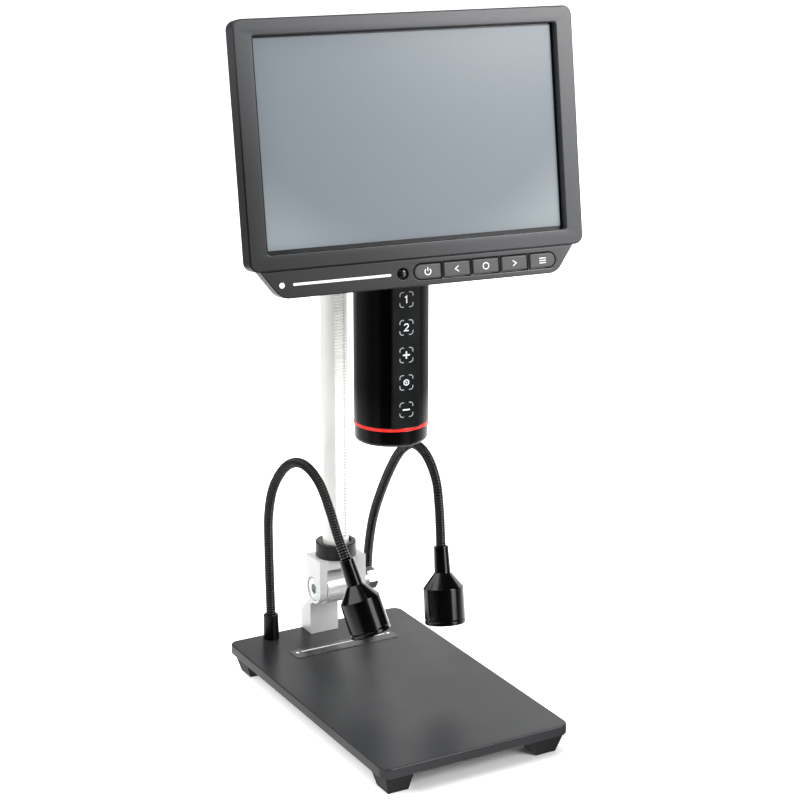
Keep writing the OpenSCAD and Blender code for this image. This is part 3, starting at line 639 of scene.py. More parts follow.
class Net:
    """One node tree, with short calls that add nodes and feed them."""

    def __init__(self, tree: bpy.types.NodeTree) -> None:
        """Keeps a tree's nodes and links at hand."""
        self.nodes, self._links = tree.nodes, tree.links

    def add(self, kind: str, inputs: Optional[dict[Any, Any]] = None, **settings: Any) -> bpy.types.Node:
        """Adds a node.

        Args:
            kind: Its type, without the leading ShaderNode.
            inputs: What its inputs take, by their names or numbers.
            settings: Values of its own settings.

        Returns:
            The new node.
        """
        node = self.nodes.new(f"ShaderNode{kind}")
        for name, value in settings.items():
            setattr(node, name, value)
        self.feed(node, inputs or {})
        return node

    def feed(self, node: bpy.types.Node, inputs: dict[Any, Any]) -> None:
        """Links each input that takes another node's output, and sets the others.

        Args:
            node: The node.
            inputs: Outputs or plain values, by the inputs' names or numbers.
        """
        for name, value in inputs.items():
            if isinstance(value, bpy.types.NodeSocket):
                self._links.new(value, node.inputs[name])
            else:
                node.inputs[name].default_value = value

    def ranged(
        self, value: bpy.types.NodeSocket, source: Pair, target: Pair, smooth: bool = False
    ) -> bpy.types.NodeSocket:
        """Carries a value from one range to another and keeps it inside.

        Args:
            value: The output that holds the value.
            source: Range that it comes from.
            target: Range that it goes to.
            smooth: True for a curve that levels off at both ends, False for a straight line.

        Returns:
            The output that holds the result.
        """
        ends = dict(zip(("From Min", "From Max", "To Min", "To Max"), (*source, *target)))
        kind = "SMOOTHSTEP" if smooth else "LINEAR"
        return self.add("MapRange", {"Value": value, **ends}, interpolation_type=kind).outputs["Result"]

    def length_of(
        self, value: bpy.types.NodeSocket, steps: Sequence[tuple[str, Optional[Sequence[float]]]]
    ) -> bpy.types.NodeSocket:
        """Puts a vector through operations, one after another, and takes its length.

        Args:
            value: The output that holds the vector.
            steps: Each operation's name with the vector that it takes besides, if any.

        Returns:
            The output that holds the length.
        """
        for operation, operand in steps:
            inputs = {0: value} if operand is None else {0: value, 1: operand}
            value = self.add("VectorMath", inputs, operation=operation).outputs["Vector"]
        return self.add("VectorMath", {0: value}, operation="LENGTH").outputs["Value"]


class Shader:
    """Builds node materials and keeps each one once."""

    def __init__(self) -> None:
        """Starts without materials."""
        self._made: dict[str, bpy.types.Material] = {}

    def get(self, finish: Finish) -> bpy.types.Material:
        """The material of a finish, made on first use.

        Args:
            finish: The finish.

        Returns:
            Its material.
        """
        if finish.name not in self._made:
            self._made[finish.name] = self._build(finish)
        return self._made[finish.name]

    def _build(self, f: Finish) -> bpy.types.Material:
        """Makes a material: two colours by a pattern, and roughness and relief by a pattern or a grain.

        Args:
            f: The finish.

        Returns:
            The new material.
        """
        mat = bpy.data.materials.new(f.name)
        mat.use_nodes = True
        net = Net(mat.node_tree)
        here = net.add("TexCoord").outputs["Object"]
        drawn = here
        if f.brushed:
            drawn = net.add("Mapping", {"Vector": here, "Scale": f.brushed.value}).outputs["Vector"]
        pattern, span = self._pattern(net, here, f)
        grain = self._noise(net, drawn, f.grain_mm, GRAIN_DETAIL)
        # Share of the second colour: random mottle under noise, painted highlights on crests, painted shade
        # or reflection by a distance.
        share = net.ranged(pattern, span, (0.0, f.mottle_and_painted_light), smooth=True)
        colours = {"Factor": share, "A": (*f.colour, 1), "B": (*(f.tint or BLACK), 1)}
        rough = (max(f.roughness - f.uneven, LEAST_ROUGHNESS), f.roughness + f.uneven)
        inputs = {
            "Base Color": net.add("Mix", colours, data_type="RGBA").outputs["Result"],
            "Metallic": f.metallic,
            "Roughness": net.ranged(grain if f.brushed else pattern, NOISE_SPAN, rough, smooth=True),
            "Specular IOR Level": share if f.crests else f.specular,
            "Coat Weight": f.coat,
            "Coat Roughness": f.coat_roughness,
            "Transmission Weight": f.transmission,
        }
        if f.relief_mm > 0:
            relief = {"Strength": 1.0, "Distance": f.relief_mm * MM, "Height": grain}
            inputs["Normal"] = net.add("Bump", relief).outputs["Normal"]
        net.feed(net.nodes["Principled BSDF"], inputs)
        return mat

    def _pattern(self, net: Net, here: bpy.types.NodeSocket, f: Finish) -> tuple[bpy.types.NodeSocket, Pair]:
        """Adds what places a finish's second colour: ribs for painted highlights, the distance from a point
        for painted shade or reflection, or noise for mottle.

        Args:
            net: The material's tree.
            here: The output that holds the place on the piece.
            f: The finish.

        Returns:
            The pattern's output, and the range of it that the second colour grows over.
        """
        if f.crests:
            return net.add("Attribute", attribute_name=CREST).outputs["Fac"], CREST_SPAN
        if f.middle:
            return net.length_of(here, [("SUBTRACT", f.middle)]), f.reach
        return self._noise(net, here, f.mottle_mm, PATCH_DETAIL), NOISE_SPAN

    @staticmethod
    def _noise(net: Net, place: bpy.types.NodeSocket, size_mm: float, detail: float) -> bpy.types.NodeSocket:
        """Output of a noise texture whose patches have a size in millimetres."""
        noise = net.add("TexNoise", {"Vector": place, "Scale": 1 / (size_mm * MM), "Detail": detail})
        return noise.outputs["Fac"]


# The housing's second colour is black and grows with the distance from a point far above and to the right of
# the screen: painted shade, darker towards the bezel's bottom and left and on the key bar.
HOUSING = Finish(
    "housing_plastic", shade(50, 51, 54), roughness=0.34, uneven=0.0, specular=0.6, mottle_and_painted_light=0.8,
    grain_mm=0.3, relief_mm=0.006, middle=on_screen_metres(600, 800, 0), reach=(1.01, 1.075),
)
KEY = Finish(
    "key_plastic", shade(64, 64, 62), roughness=0.36, specular=0.6, mottle_and_painted_light=0.06, grain_mm=0.25,
    relief_mm=0.004,
)
BACK = Finish("back_plastic", shade(38, 39, 41), roughness=0.55, mottle_and_painted_light=0.1, grain_mm=0.6, relief_mm=0.03)
# The display's grey-blue stands in for the studio's reflection in the dark panel, and its lighter tint grows
# with the distance from a point near its top, towards the lower corners: painted reflection.
SCREEN_GLASS = Finish(
    "display", shade(105, 113, 119), roughness=0.26, uneven=0.0, mottle_and_painted_light=1.0, tint=shade(131, 139, 143),
    relief_mm=0, middle=on_screen_metres(0, 56, 4),
)
SCREEN_RIM = Finish("display_rim", shade(6, 6, 7), roughness=0.3, mottle_and_painted_light=0.05, relief_mm=0)
PLATE = Finish(
    "base_paint", shade(38, 39, 41), roughness=0.37, uneven=0.02, specular=0.43, mottle_and_painted_light=0.08, mottle_mm=30,
    grain_mm=0.5, relief_mm=0.012,
)
LABEL = Finish("label_paint", shade(34, 35, 37), roughness=0.28, mottle_and_painted_light=0.05, grain_mm=0.4, relief_mm=0.006)
FEET = Finish(
    "feet_rubber", shade(27, 28, 29), roughness=0.55, specular=0.15, mottle_and_painted_light=0.15, grain_mm=0.8, relief_mm=0.03
)
NICKEL = Finish(
    "satin_nickel", shade(220, 220, 218), metallic=0.2, roughness=0.38, mottle_and_painted_light=0.05, brushed=Brushed.ALONG_Z,
    relief_mm=0.004,
)
KNUCKLE = Finish(
    "turned_nickel", shade(236, 236, 234), metallic=0.45, roughness=0.25, mottle_and_painted_light=0.05,
    brushed=Brushed.ALONG_X, relief_mm=0.003,
)
ZINC = Finish(
    "zinc", shade(204, 210, 210), metallic=0.9, roughness=0.22, uneven=0.08, mottle_and_painted_light=0.2, mottle_mm=3,
    relief_mm=0.004,
)
NUT = Finish(
    "nut_zinc", shade(168, 174, 175), metallic=0.8, roughness=0.34, uneven=0.05, mottle_and_painted_light=0.2, mottle_mm=3,
    relief_mm=0.004,
)
BOOT = Finish("boot_rubber", shade(3, 3, 3), roughness=0.3, specular=0.4, mottle_and_painted_light=0.1, relief_mm=0.002)
STEEL = Finish(
    "steel", shade(150, 151, 153), metallic=0.95, roughness=0.35, mottle_and_painted_light=0.15, mottle_mm=4, relief_mm=0.004
)
ROD = Finish(
    "rod_chrome", shade(244, 244, 241), metallic=0.3, roughness=0.22, mottle_and_painted_light=0.03, brushed=Brushed.ALONG_X,
    relief_mm=0,
)
RACK = Finish(
    "rack_steel", shade(252, 252, 249), specular=0.2, roughness=0.5, mottle_and_painted_light=0.02, mottle_mm=9, relief_mm=0
)
BLACK_METAL = Finish(
    "black_anodised", shade(22, 23, 24), roughness=0.38, mottle_and_painted_light=0.1, grain_mm=0.25, relief_mm=0.004
)
TUBE = Finish(
    "tube_lacquer", shade(2, 2, 2), roughness=0.08, uneven=0.02, mottle_and_painted_light=0.1, relief_mm=0, coat=0.6,
    coat_roughness=0.06,
)
LAMP = Finish(
    "lamp_anodised", shade(3, 3, 3), roughness=0.16, uneven=0.02, specular=0.75, mottle_and_painted_light=0.1,
    brushed=Brushed.ALONG_X, relief_mm=0.001,
)
PANEL = Finish("key_panel", shade(10, 13, 14), roughness=0.3, mottle_and_painted_light=0.05, relief_mm=0)
ACCENT = Finish(
    "red_ring", shade(238, 34, 24), roughness=0.28, mottle_and_painted_light=0.06, mottle_mm=5, relief_mm=0, coat=0.3
)
# The gooseneck is black; its rib crests take a grey second colour: painted highlights on the ribs.
NECK = Finish(
    "gooseneck_black", shade(0, 0, 0), roughness=0.13, uneven=0.0, mottle_and_painted_light=1.0, tint=shade(46, 46, 44),
    relief_mm=0, crests=True,
)
PLASTIC = Finish(
    "black_plastic", shade(12, 12, 12), roughness=0.32, mottle_and_painted_light=0.1, grain_mm=0.4, relief_mm=0.008
)
KNOB = Finish("knob_plastic", shade(26, 26, 27), roughness=0.45, mottle_and_painted_light=0.1, grain_mm=0.5, relief_mm=0.015)
BLACK_BOARD = Finish(
    "key_circuit_board", shade(17, 19, 19), roughness=0.35, mottle_and_painted_light=0.3, mottle_mm=2.5, relief_mm=0.004
)
BOARD = Finish("circuit_board", shade(30, 92, 58), roughness=0.4, mottle_and_painted_light=0.35, mottle_mm=2.5, relief_mm=0.01)
LED = Finish("led_board", shade(232, 230, 216), roughness=0.5, mottle_and_painted_light=0.25, mottle_mm=2.5, relief_mm=0.01)
PRINT = Finish("white_print", shade(238, 240, 242), roughness=0.45, mottle_and_painted_light=0.03, relief_mm=0)
GREY_PRINT = Finish("grey_print", shade(168, 172, 176), roughness=0.45, mottle_and_painted_light=0.03, relief_mm=0)
OPTIC = Finish(
    "optic", shade(200, 212, 218), roughness=0.08, uneven=0.02, mottle_and_painted_light=0.05, relief_mm=0, coat=0.5,
    transmission=0.7,
)
GLOSS_BLACK = Finish("gloss_black", shade(7, 7, 8), roughness=0.1, mottle_and_painted_light=0.05, relief_mm=0, coat=0.5)

# Finish and rim radius of every carried-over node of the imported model.
CARRIED: dict[str, tuple[Finish, float]] = {
    "base_screws": (STEEL, 0.2),
    "feet": (FEET, 0.5),
    "boot_nuts": (STEEL, 0.2),
    "driver_case": (PLASTIC, 0.4),
    "driver_board": (BOARD, 0.0),
    "lamp_inlet": (PLASTIC, 0.15),
    "column_screw": (STEEL, 0.0),
    "column_rod": (ROD, 0.0),
    "column_rack": (RACK, 0.0),
    "pivot_bolt": (ZINC, 0.25),
    "pivot_washer": (NUT, 0.15),
    "pivot_nut": (NUT, 0.5),
    "carriage": (BLACK_METAL, 0.7),
    "barrel_clamp": (BLACK_METAL, 0.5),
    "pinion_shaft": (STEEL, 0.0),
    "left_focus_knob": (KNOB, 0.3),
    "right_focus_knob": (KNOB, 0.3),
    "clamp_knob": (KNOB, 0.3),
    "lock_knob": (KNOB, 0.3),
    "lens_cell": (BLACK_METAL, 0.0),
    "objective_lens": (OPTIC, 0.0),
    "sensor_board": (BOARD, 0.0),
    "bracket_screw": (STEEL, 0.2),
    "tilt_bracket": (BLACK_METAL, 0.4),
    "tilt_pin": (STEEL, 0.15),
    "key_board": (BLACK_BOARD, 0.0),
    "main_board": (BOARD, 0.0),
    "port_sockets": (STEEL, 0.0),
    "tilt_lug": (BLACK_METAL, 0.4),
    "back_cover": (BACK, 0.4),
    "back_screws": (STEEL, 0.15),
    "left_lamp_lens": (OPTIC, 0.0),
    "right_lamp_lens": (OPTIC, 0.0),
    "left_led_board": (LED, 0.0),
    "right_led_board": (LED, 0.0),
}


# ---------------------------------------------------------------------------------------------
# Pieces
# ---------------------------------------------------------------------------------------------


@dataclass
class Workshop:
    """Turns solids into objects with a finish that ride on a body.

    Attributes:
        nodes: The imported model's objects by name.
        shader: Makes the materials.
        sharp: Angle in degrees over which a new piece's edge stays sharp.
        rim_segments: Segments across the rounded edges of carried-over nodes.
        rim_angle: Angle in degrees over which those edges are rounded.
        face_weight: How strongly large faces pull the shading, of 100.
        made: New pieces so far.
    """

    nodes: dict[str, bpy.types.Object]
    shader: Shader
    sharp: float = 34.0
    rim_segments: int = 2
    rim_angle: float = 40.0
    face_weight: int = 80
    made: list[bpy.types.Object] = field(default_factory=list)

    def piece(
        self,
        name: str,
        solid: Solid,
        finish: Finish,
        body: str,
        replaces: Sequence[str] = (),
        smooth: Optional[float] = None,
        flat_caps: bool = True,
    ) -> bpy.types.Object:
        """Makes one object of a closed shell.

        Args:
            name: The object's name.
            solid: Its shell, in the model's frame, in millimetres.
            finish: Its finish.
            body: The body it rides on.
            replaces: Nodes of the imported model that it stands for.
            smooth: Angle in degrees over which an edge stays sharp, the workshop's own if left out.
            flat_caps: True to keep large flats flat next to rounded rims.

        Returns:
            The new object.
        """
        mesh = bpy.data.meshes.new(name)
        mesh.from_pydata((solid.points * MM).tolist(), [], solid.faces)
        mesh.validate()
        shell = bmesh.new()
        shell.from_mesh(mesh)
        bmesh.ops.recalc_face_normals(shell, faces=shell.faces)
        shell.to_mesh(mesh)
        shell.free()
        mesh.shade_smooth()
        mesh.set_sharp_from_angle(angle=math.radians(self.sharp if smooth is None else smooth))
        mesh.materials.append(self.shader.get(finish))
        obj = bpy.data.objects.new(name, mesh)
        bpy.context.scene.collection.objects.link(obj)
        if flat_caps:
            weigh = obj.modifiers.new("flat_caps", "WEIGHTED_NORMAL")
            weigh.keep_sharp = True
            weigh.weight = self.face_weight
        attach(obj, body)
        if replaces:
            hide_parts(*replaces)
        self.made.append(obj)
        return obj

    def dress(self) -> None:
        """Gives every carried-over node its finish and rounded edges."""
        for name, (finish, rim) in CARRIED.items():
            obj = self.nodes[name]
            obj.data.materials.clear()
            obj.data.materials.append(self.shader.get(finish))
            if rim > 0:
                bevel = obj.modifiers.new("rim", "BEVEL")
                bevel.width = rim * MM
                bevel.segments = self.rim_segments
                bevel.limit_method = "ANGLE"
                bevel.angle_limit = math.radians(self.rim_angle)
                bevel.harden_normals = False


# ---- screen ----


@dataclass
class Screen:
    """The housing, its display, its key bar and its keys, from the screen's middle: x, z and depth.

    Attributes:
        shop: Makes the pieces.
        width: Width of the housing.
        height: Height of the housing without its key bar.
        corner: Radius of the housing's corners.
        front: Depths of the housing's front half.
        rear: Depths of its rear half.
        rear_narrower: How much narrower the rear half is.
        wall: Thickness of the rear half's wall.
        window: Width and height of the opening.
        glass: Width and height of the display.
        glass_rise: How far the display's middle lies above the housing's.
        glass_depth: Depths of the display.
        frame: Width and height of the black frame behind the opening.
        frame_depth: Depths of that frame.
        bar_half: Half width of the key bar's top.
        bar_foot_half: Half width of its foot.
        bar_low: Height of its foot.
        bar_corner: Radius of its foot's corners.
        bar_depth: Depths of the key bar.
        key_z: Height of the keys' middle.
        key_x0: Place of the first key.
        key_pitch: Distance between keys.
        key_size: Width and height of a key.
        key_corner: Radius of a key's inner corners.
        key_gap: Gap round a key.
        key_depth: Depths of a key.
        window_x: Place of the infrared window.
        window_z: Height of its middle.
        window_r: Radius of the hole round it.
        print_z: Height of the bar's printed dot and line.
        print_depth: Depths of them.
        dot_x: Place of the dot.
        dot_r: Radius of the dot.
        line_x: Place of the line's middle.
        line_size: Length and width of the line.
        sign_width: Width of a key's printed lines.
    """

    shop: Workshop
    width: float = 194.4
    height: float = 130.0
    corner: float = 5.0
    front: Pair = (0.0, 7.4)
    rear: Pair = (7.6, 12.4)
    rear_narrower: float = 0.3
    wall: float = 4.0
    window: Pair = (174.2, 112.3)
    glass: Pair = (171.2, 109.4)
    glass_rise: float = 0.3
    glass_depth: Pair = (4.15, 5.0)
    frame: Pair = (178.0, 116.0)
    frame_depth: Pair = (4.3, 8.5)
    bar_half: float = 91.6
    bar_foot_half: float = 80.6
    bar_low: float = -79.9
    bar_corner: float = 9.0
    bar_depth: Pair = (1.5, 10.5)
    key_z: float = -72.35
    key_x0: float = 2.9
    key_pitch: float = 17.25
    key_size: Pair = (15.6, 8.1)
    key_corner: float = 0.7
    key_gap: float = 0.35
    key_depth: Pair = (0.9, 4.4)
    window_x: float = -11.5
    window_z: float = -72.55
    window_r: float = 3.0
    print_z: float = -72.65
    print_depth: Pair = (1.44, 1.6)
    dot_x: float = -80.1
    dot_r: float = 1.5
    line_x: float = -46.1
    line_size: Pair = (55.6, 1.35)
    sign_width: float = 0.5

    def build(self) -> None:
        """Makes every visible piece of the screen's front."""
        self._bezel()
        self._display()
        self._bar()
        self._infrared_window()
        self._bar_print()
        for key in Key:
            self._key(key)

    def _put(self, name: str, solid: Solid, finish: Finish, *replaces: str, body: str = Body.SCREEN) -> None:
        """Makes a piece with rounded rims on the screen."""
        self.shop.piece(name, solid.moved(ON_SCREEN), finish, body, replaces=replaces)

    def _bezel(self) -> None:
        """Makes the housing's two halves, with the groove between them."""
        window = round_rect(*self.window, 1.2)
        outline = round_rect(self.width, self.height, self.corner)
        front = plate(outline, self.front, [window], bevel=0.8, back_bevel=0.25)
        less = self.rear_narrower
        outline = round_rect(self.width - less, self.height - less, self.corner)
        hole = round_rect(self.width - 2 * self.wall, self.height - 2 * self.wall, 3)
        rear = plate(outline, self.rear, [hole], bevel=0.25)
        self._put("bezel", joined([front, rear]), HOUSING, "front_bezel")

    def _display(self) -> None:
        """Makes the display and the black frame that it stands in."""
        glass = plate(round_rect(*self.glass, 0.5, y=self.glass_rise), self.glass_depth, bevel=0.1)
        self._put("display", glass, SCREEN_GLASS, "lcd_panel")
        self._put("display_rim", plate(round_rect(*self.frame, 1), self.frame_depth, bevel=0.1), SCREEN_RIM)

    def _key_x(self, key: Key) -> float:
        """Place of a key's middle."""
        return self.key_x0 + list(Key).index(key) * self.key_pitch

    def _key_outline(self, key: Key, grow: float) -> np.ndarray:
        """Outline of a key, or of its hole, round at the row's outer ends.

        Args:
            key: The key.
            grow: How far the outline lies outside the key.

        Returns:
            The outline as rows of points.
        """
        x, z = self._key_x(key), self.key_z
        w, h = self.key_size[0] / 2 + grow, self.key_size[1] / 2 + grow
        # Just under half the height, so that the two arcs at a round end don't meet in one point.
        end = h - 0.01
        left = end if key == Key.POWER else self.key_corner
        right = end if key == Key.MENU else self.key_corner
        return rounded(box_corners(x - w, x + w, z - h, z + h, (left, right, right, left)), 12)

    def _bar(self) -> None:
        """Makes the key bar with its holes."""
        half, foot, corner = self.bar_half, self.bar_foot_half, self.bar_corner
        top, low = -self.height / 2, self.bar_low
        outer = rounded([(-half, top, 0), (-foot, low, corner), (foot, low, corner), (half, top, 0)], 10)
        holes = [self._key_outline(key, self.key_gap) for key in Key]
        holes.append(circle(self.window_r, 40, self.window_x, self.window_z))
        self._put("key_bar", plate(outer, self.bar_depth, holes, bevel=0.5), HOUSING, "control_bar")

    def _infrared_window(self) -> None:
        """Makes the dark dome beside the keys."""
        r = self.window_r - 0.15
        dome = turned([(0, 1.0, 0), (2.0, 1.0, 1.2), (r, 2.2, 0.4), (r, 5, 0), (0, 5, 0)])
        self._put("infrared_window", dome.moved(moved_by((self.window_x, self.window_z, 0))), GLOSS_BLACK)

    def _bar_print(self) -> None:
        """Prints the dot and the long line on the bar."""
        dot = plate(circle(self.dot_r, 40, self.dot_x, self.print_z), self.print_depth)
        line = plate(round_rect(*self.line_size, 0.6, self.line_x, self.print_z), self.print_depth)
        marks = joined([dot, line]).moved(ON_SCREEN)
        self.shop.piece("bar_print", marks, PRINT, Body.SCREEN, flat_caps=False)

    def _key(self, key: Key) -> None:
        """Makes a key and prints its sign.

        Args:
            key: The key.
        """
        body = f"{key.value}_button"
        cap = plate(self._key_outline(key, 0), self.key_depth, bevel=0.7, back_bevel=0.1)
        self._put(f"{key.value}_cap", cap, KEY, f"{key.value}_key", body=body)
        sign = print_mark(self._sign(key), self.key_depth[0]).moved(ON_SCREEN)
        self.shop.piece(f"{key.value}_mark", sign, PRINT, body, flat_caps=False)

    def _sign(self, key: Key) -> Strokes:
        """Draws a key's sign: a power sign, an arrow, a ring or three bars.

        Args:
            key: The key.

        Returns:
            Outlines of the strokes.
        """
        x, z, wide = self._key_x(key), self.key_z, self.sign_width
        if key == Key.POWER:
            ring = arc(x, z - 0.1, 1.75, -230, 50, 24)
            return [stroke(ring, wide), stroke([(x, z + 0.2), (x, z + 2.3)], wide)]
        if key == Key.OK:
            return [stroke(circle(1.7, 36, x, z), wide, closed=True)]
        if key == Key.MENU:
            return [stroke([(x - 2.0, z + d), (x + 2.0, z + d)], wide) for d in (-1.3, 0.0, 1.3)]
        side = -1 if key == Key.LEFT else 1
        return [stroke([(x - side, z + 1.5), (x + 1.1 * side, z), (x - side, z - 1.5)], wide)]


# ---- camera tube ----


@dataclass
class CameraTube:
    """The lacquered tube with its key strip, red ring and nose, upright at the frame's origin.

    Attributes:
        shop: Makes the pieces.
        r: Radius of the tube.
        low: Height of the nose's end.
        nose_top: Height of the nose's upper end, where the red ring starts.
        shell_low: Height of the tube's lower end.
        top: Height of the tube's upper end.
        strip_top: Height of the key strip's upper end.
        seam_degrees: Half width of the seams at the tube's sides.
        seam_depth: Depth of those seams.
        keel_half: Half width of the flat keel under the key strip.
        keel_face: Distance of the keel's face from the tube's middle.
        panel_width: Width of the key strip.
        panel_depth: Depths of the key strip.
        nose_r: Radius of the nose.
        nose_mouth: Radius of the nose's opening.
        nose_bore: Radius of its bore.
        marks_z: Heights of the touch marks.
        sign_half: Half length of the plus sign's and the minus sign's strokes.
        sign_width: Width of those strokes.
        figure_width: Width of the figures' strokes.
        frame_width: Width of the corner frames' strokes.
    """

    shop: Workshop
    r: float = 21.2
    low: float = 169.1
    nose_top: float = 178.0
    shell_low: float = 179.9
    top: float = 300.0
    strip_top: float = 262.0
    seam_degrees: float = 0.7
    seam_depth: float = 0.5
    keel_half: float = 8.4
    keel_face: float = 21.35
    panel_width: float = 16.6
    panel_depth: Pair = (-21.9, -21.3)
    nose_r: float = 20.8
    nose_mouth: float = 15.2
    nose_bore: float = 12.1
    marks_z: tuple[float, ...] = (254.0, 238.25, 222.5, 206.75, 191.0)
    sign_half: float = 2.1
    sign_width: float = 0.8
    figure_width: float = 0.6
    frame_width: float = 0.45

    def build(self) -> None:
        """Makes the tube's visible pieces."""
        self._shell()
        self._key_strip()
        self._marks()
        self._ring_and_nose()

    def _shell(self) -> None:
        """Makes the tube: two half circles with a fine seam between them at each side."""
        outline = []
        for start in (0.0, 180.0):
            end = start + 180
            outline.append(arc(0, 0, self.r, start + self.seam_degrees, end - self.seam_degrees, 72))
            outline.append(arc(0, 0, self.r - self.seam_depth, end, end, 0))
        shell = plate(np.vstack(outline), (self.shell_low, self.top), bevel=0.3)
        self.shop.piece("tube_shell", shell, TUBE, Body.HEAD, replaces=["barrel"])

    def _key_strip(self) -> None:
        """Makes the flat keel on the tube's front and the key strip on it."""
        half, height = self.keel_half, (self.shell_low, self.strip_top)
        keel = rounded(box_corners(-half, half, -self.keel_face, -self.r / 2, (0.8, 0.8, 0, 0)), 6)
        strip = plate(keel, height, bevel=0.5).moved(placed(YAW_TURN))
        self.shop.piece("tube_keel", strip, TUBE, Body.HEAD)
        outline = round_rect(self.panel_width, height[1] - height[0] - 1.0, 0.8, 0, sum(height) / 2)
        panel = plate(outline, self.panel_depth, bevel=0.3, back_bevel=0).moved(ON_TUBE)
        self.shop.piece("key_strip", panel, PANEL, Body.HEAD, replaces=["key_panel"])

    def _ring_and_nose(self) -> None:
        """Makes the red ring and the nose below it."""
        r, low, top = self.r + 0.05, self.nose_top, self.shell_low
        ring = turned([(0, low, 0), (r, low, 0.3), (r, top, 0.3), (0, top, 0)])
        self.shop.piece("red_ring", ring, ACCENT, Body.HEAD, replaces=["accent_ring"])
        r, low, mouth = self.nose_r, self.low, self.nose_mouth
        wall = [
            (r - 0.5, low, 0.6), (r, low + 1.4, 1.5), (r, self.nose_top, 0.3),
            (self.nose_bore, self.nose_top, 0),
        ]
        outside = rounded([(mouth, low, 0), *wall], 4)[1:]
        inside = [(self.nose_bore, low + 2.4), (mouth, low + 0.1)]
        nose = lathe(np.vstack([inside, outside]), closed=True)
        self.shop.piece("nose", nose, TUBE, Body.HEAD, replaces=["nose_ring"])

    def _corner_frame(
        self, z: float, w: float = 7.8, h: float = 8.3, r: float = 1.5, run: float = 0.9
    ) -> Strokes:
        """Four rounded corner strokes round a touch mark.

        Args:
            z: Height of the mark's middle.
            w: Width of the frame.
            h: Height of the frame.
            r: Radius of its corners.
            run: Length of the straight run at each end of a corner.

        Returns:
            Outlines of the strokes.
        """
        out = []
        for sx, sz in ((-1, -1), (1, -1), (1, 1), (-1, 1)):
            cx, cz = sx * (w / 2 - r), z + sz * (h / 2 - r)
            start = math.degrees(math.atan2(sz, sx)) - 45
            beside, above = (cx + r * sx, cz - run * sz), (cx - run * sx, cz + r * sz)
            first, last = (beside, above) if sx == sz else (above, beside)
            out.append(stroke([first, *arc(cx, cz, r, start, start + 90, 8), last], self.frame_width))
        return out

    def _marks(self) -> None:
        """Prints the touch marks: one, two, plus, focus and minus, each in a corner frame."""
        z1, z2, plus, focus, minus = self.marks_z
        half, wide, thin = self.sign_half, self.sign_width, self.figure_width
        one = [(-0.9, z1 + 1.2), (0.15, z1 + 2.0), (0.15, z1 - 2.0)]
        two = [*arc(0, z2 + 0.9, 1.15, 170, -30, 10), (-1.25, z2 - 1.85), (1.35, z2 - 1.85)]
        signs = [
            stroke(one, thin),
            stroke(two, thin),
            stroke([(-half, plus), (half, plus)], wide),
            stroke([(0, plus - half), (0, plus + half)], wide),
            stroke(circle(1.5, 32, 0, focus), 0.5, closed=True),
            [circle(0.5, 20, 0, focus)],
            stroke([(-half, minus), (half, minus)], wide),
        ]
        frames = [part for level in self.marks_z for part in self._corner_frame(level)]
        for name, strokes, finish in (("touch_marks", signs, PRINT), ("touch_frames", frames, GREY_PRINT)):
            mark = print_mark(strokes, self.panel_depth[0]).moved(ON_TUBE)
            self.shop.piece(name, mark, finish, Body.HEAD, flat_caps=False)


# ---- base and hinge ----


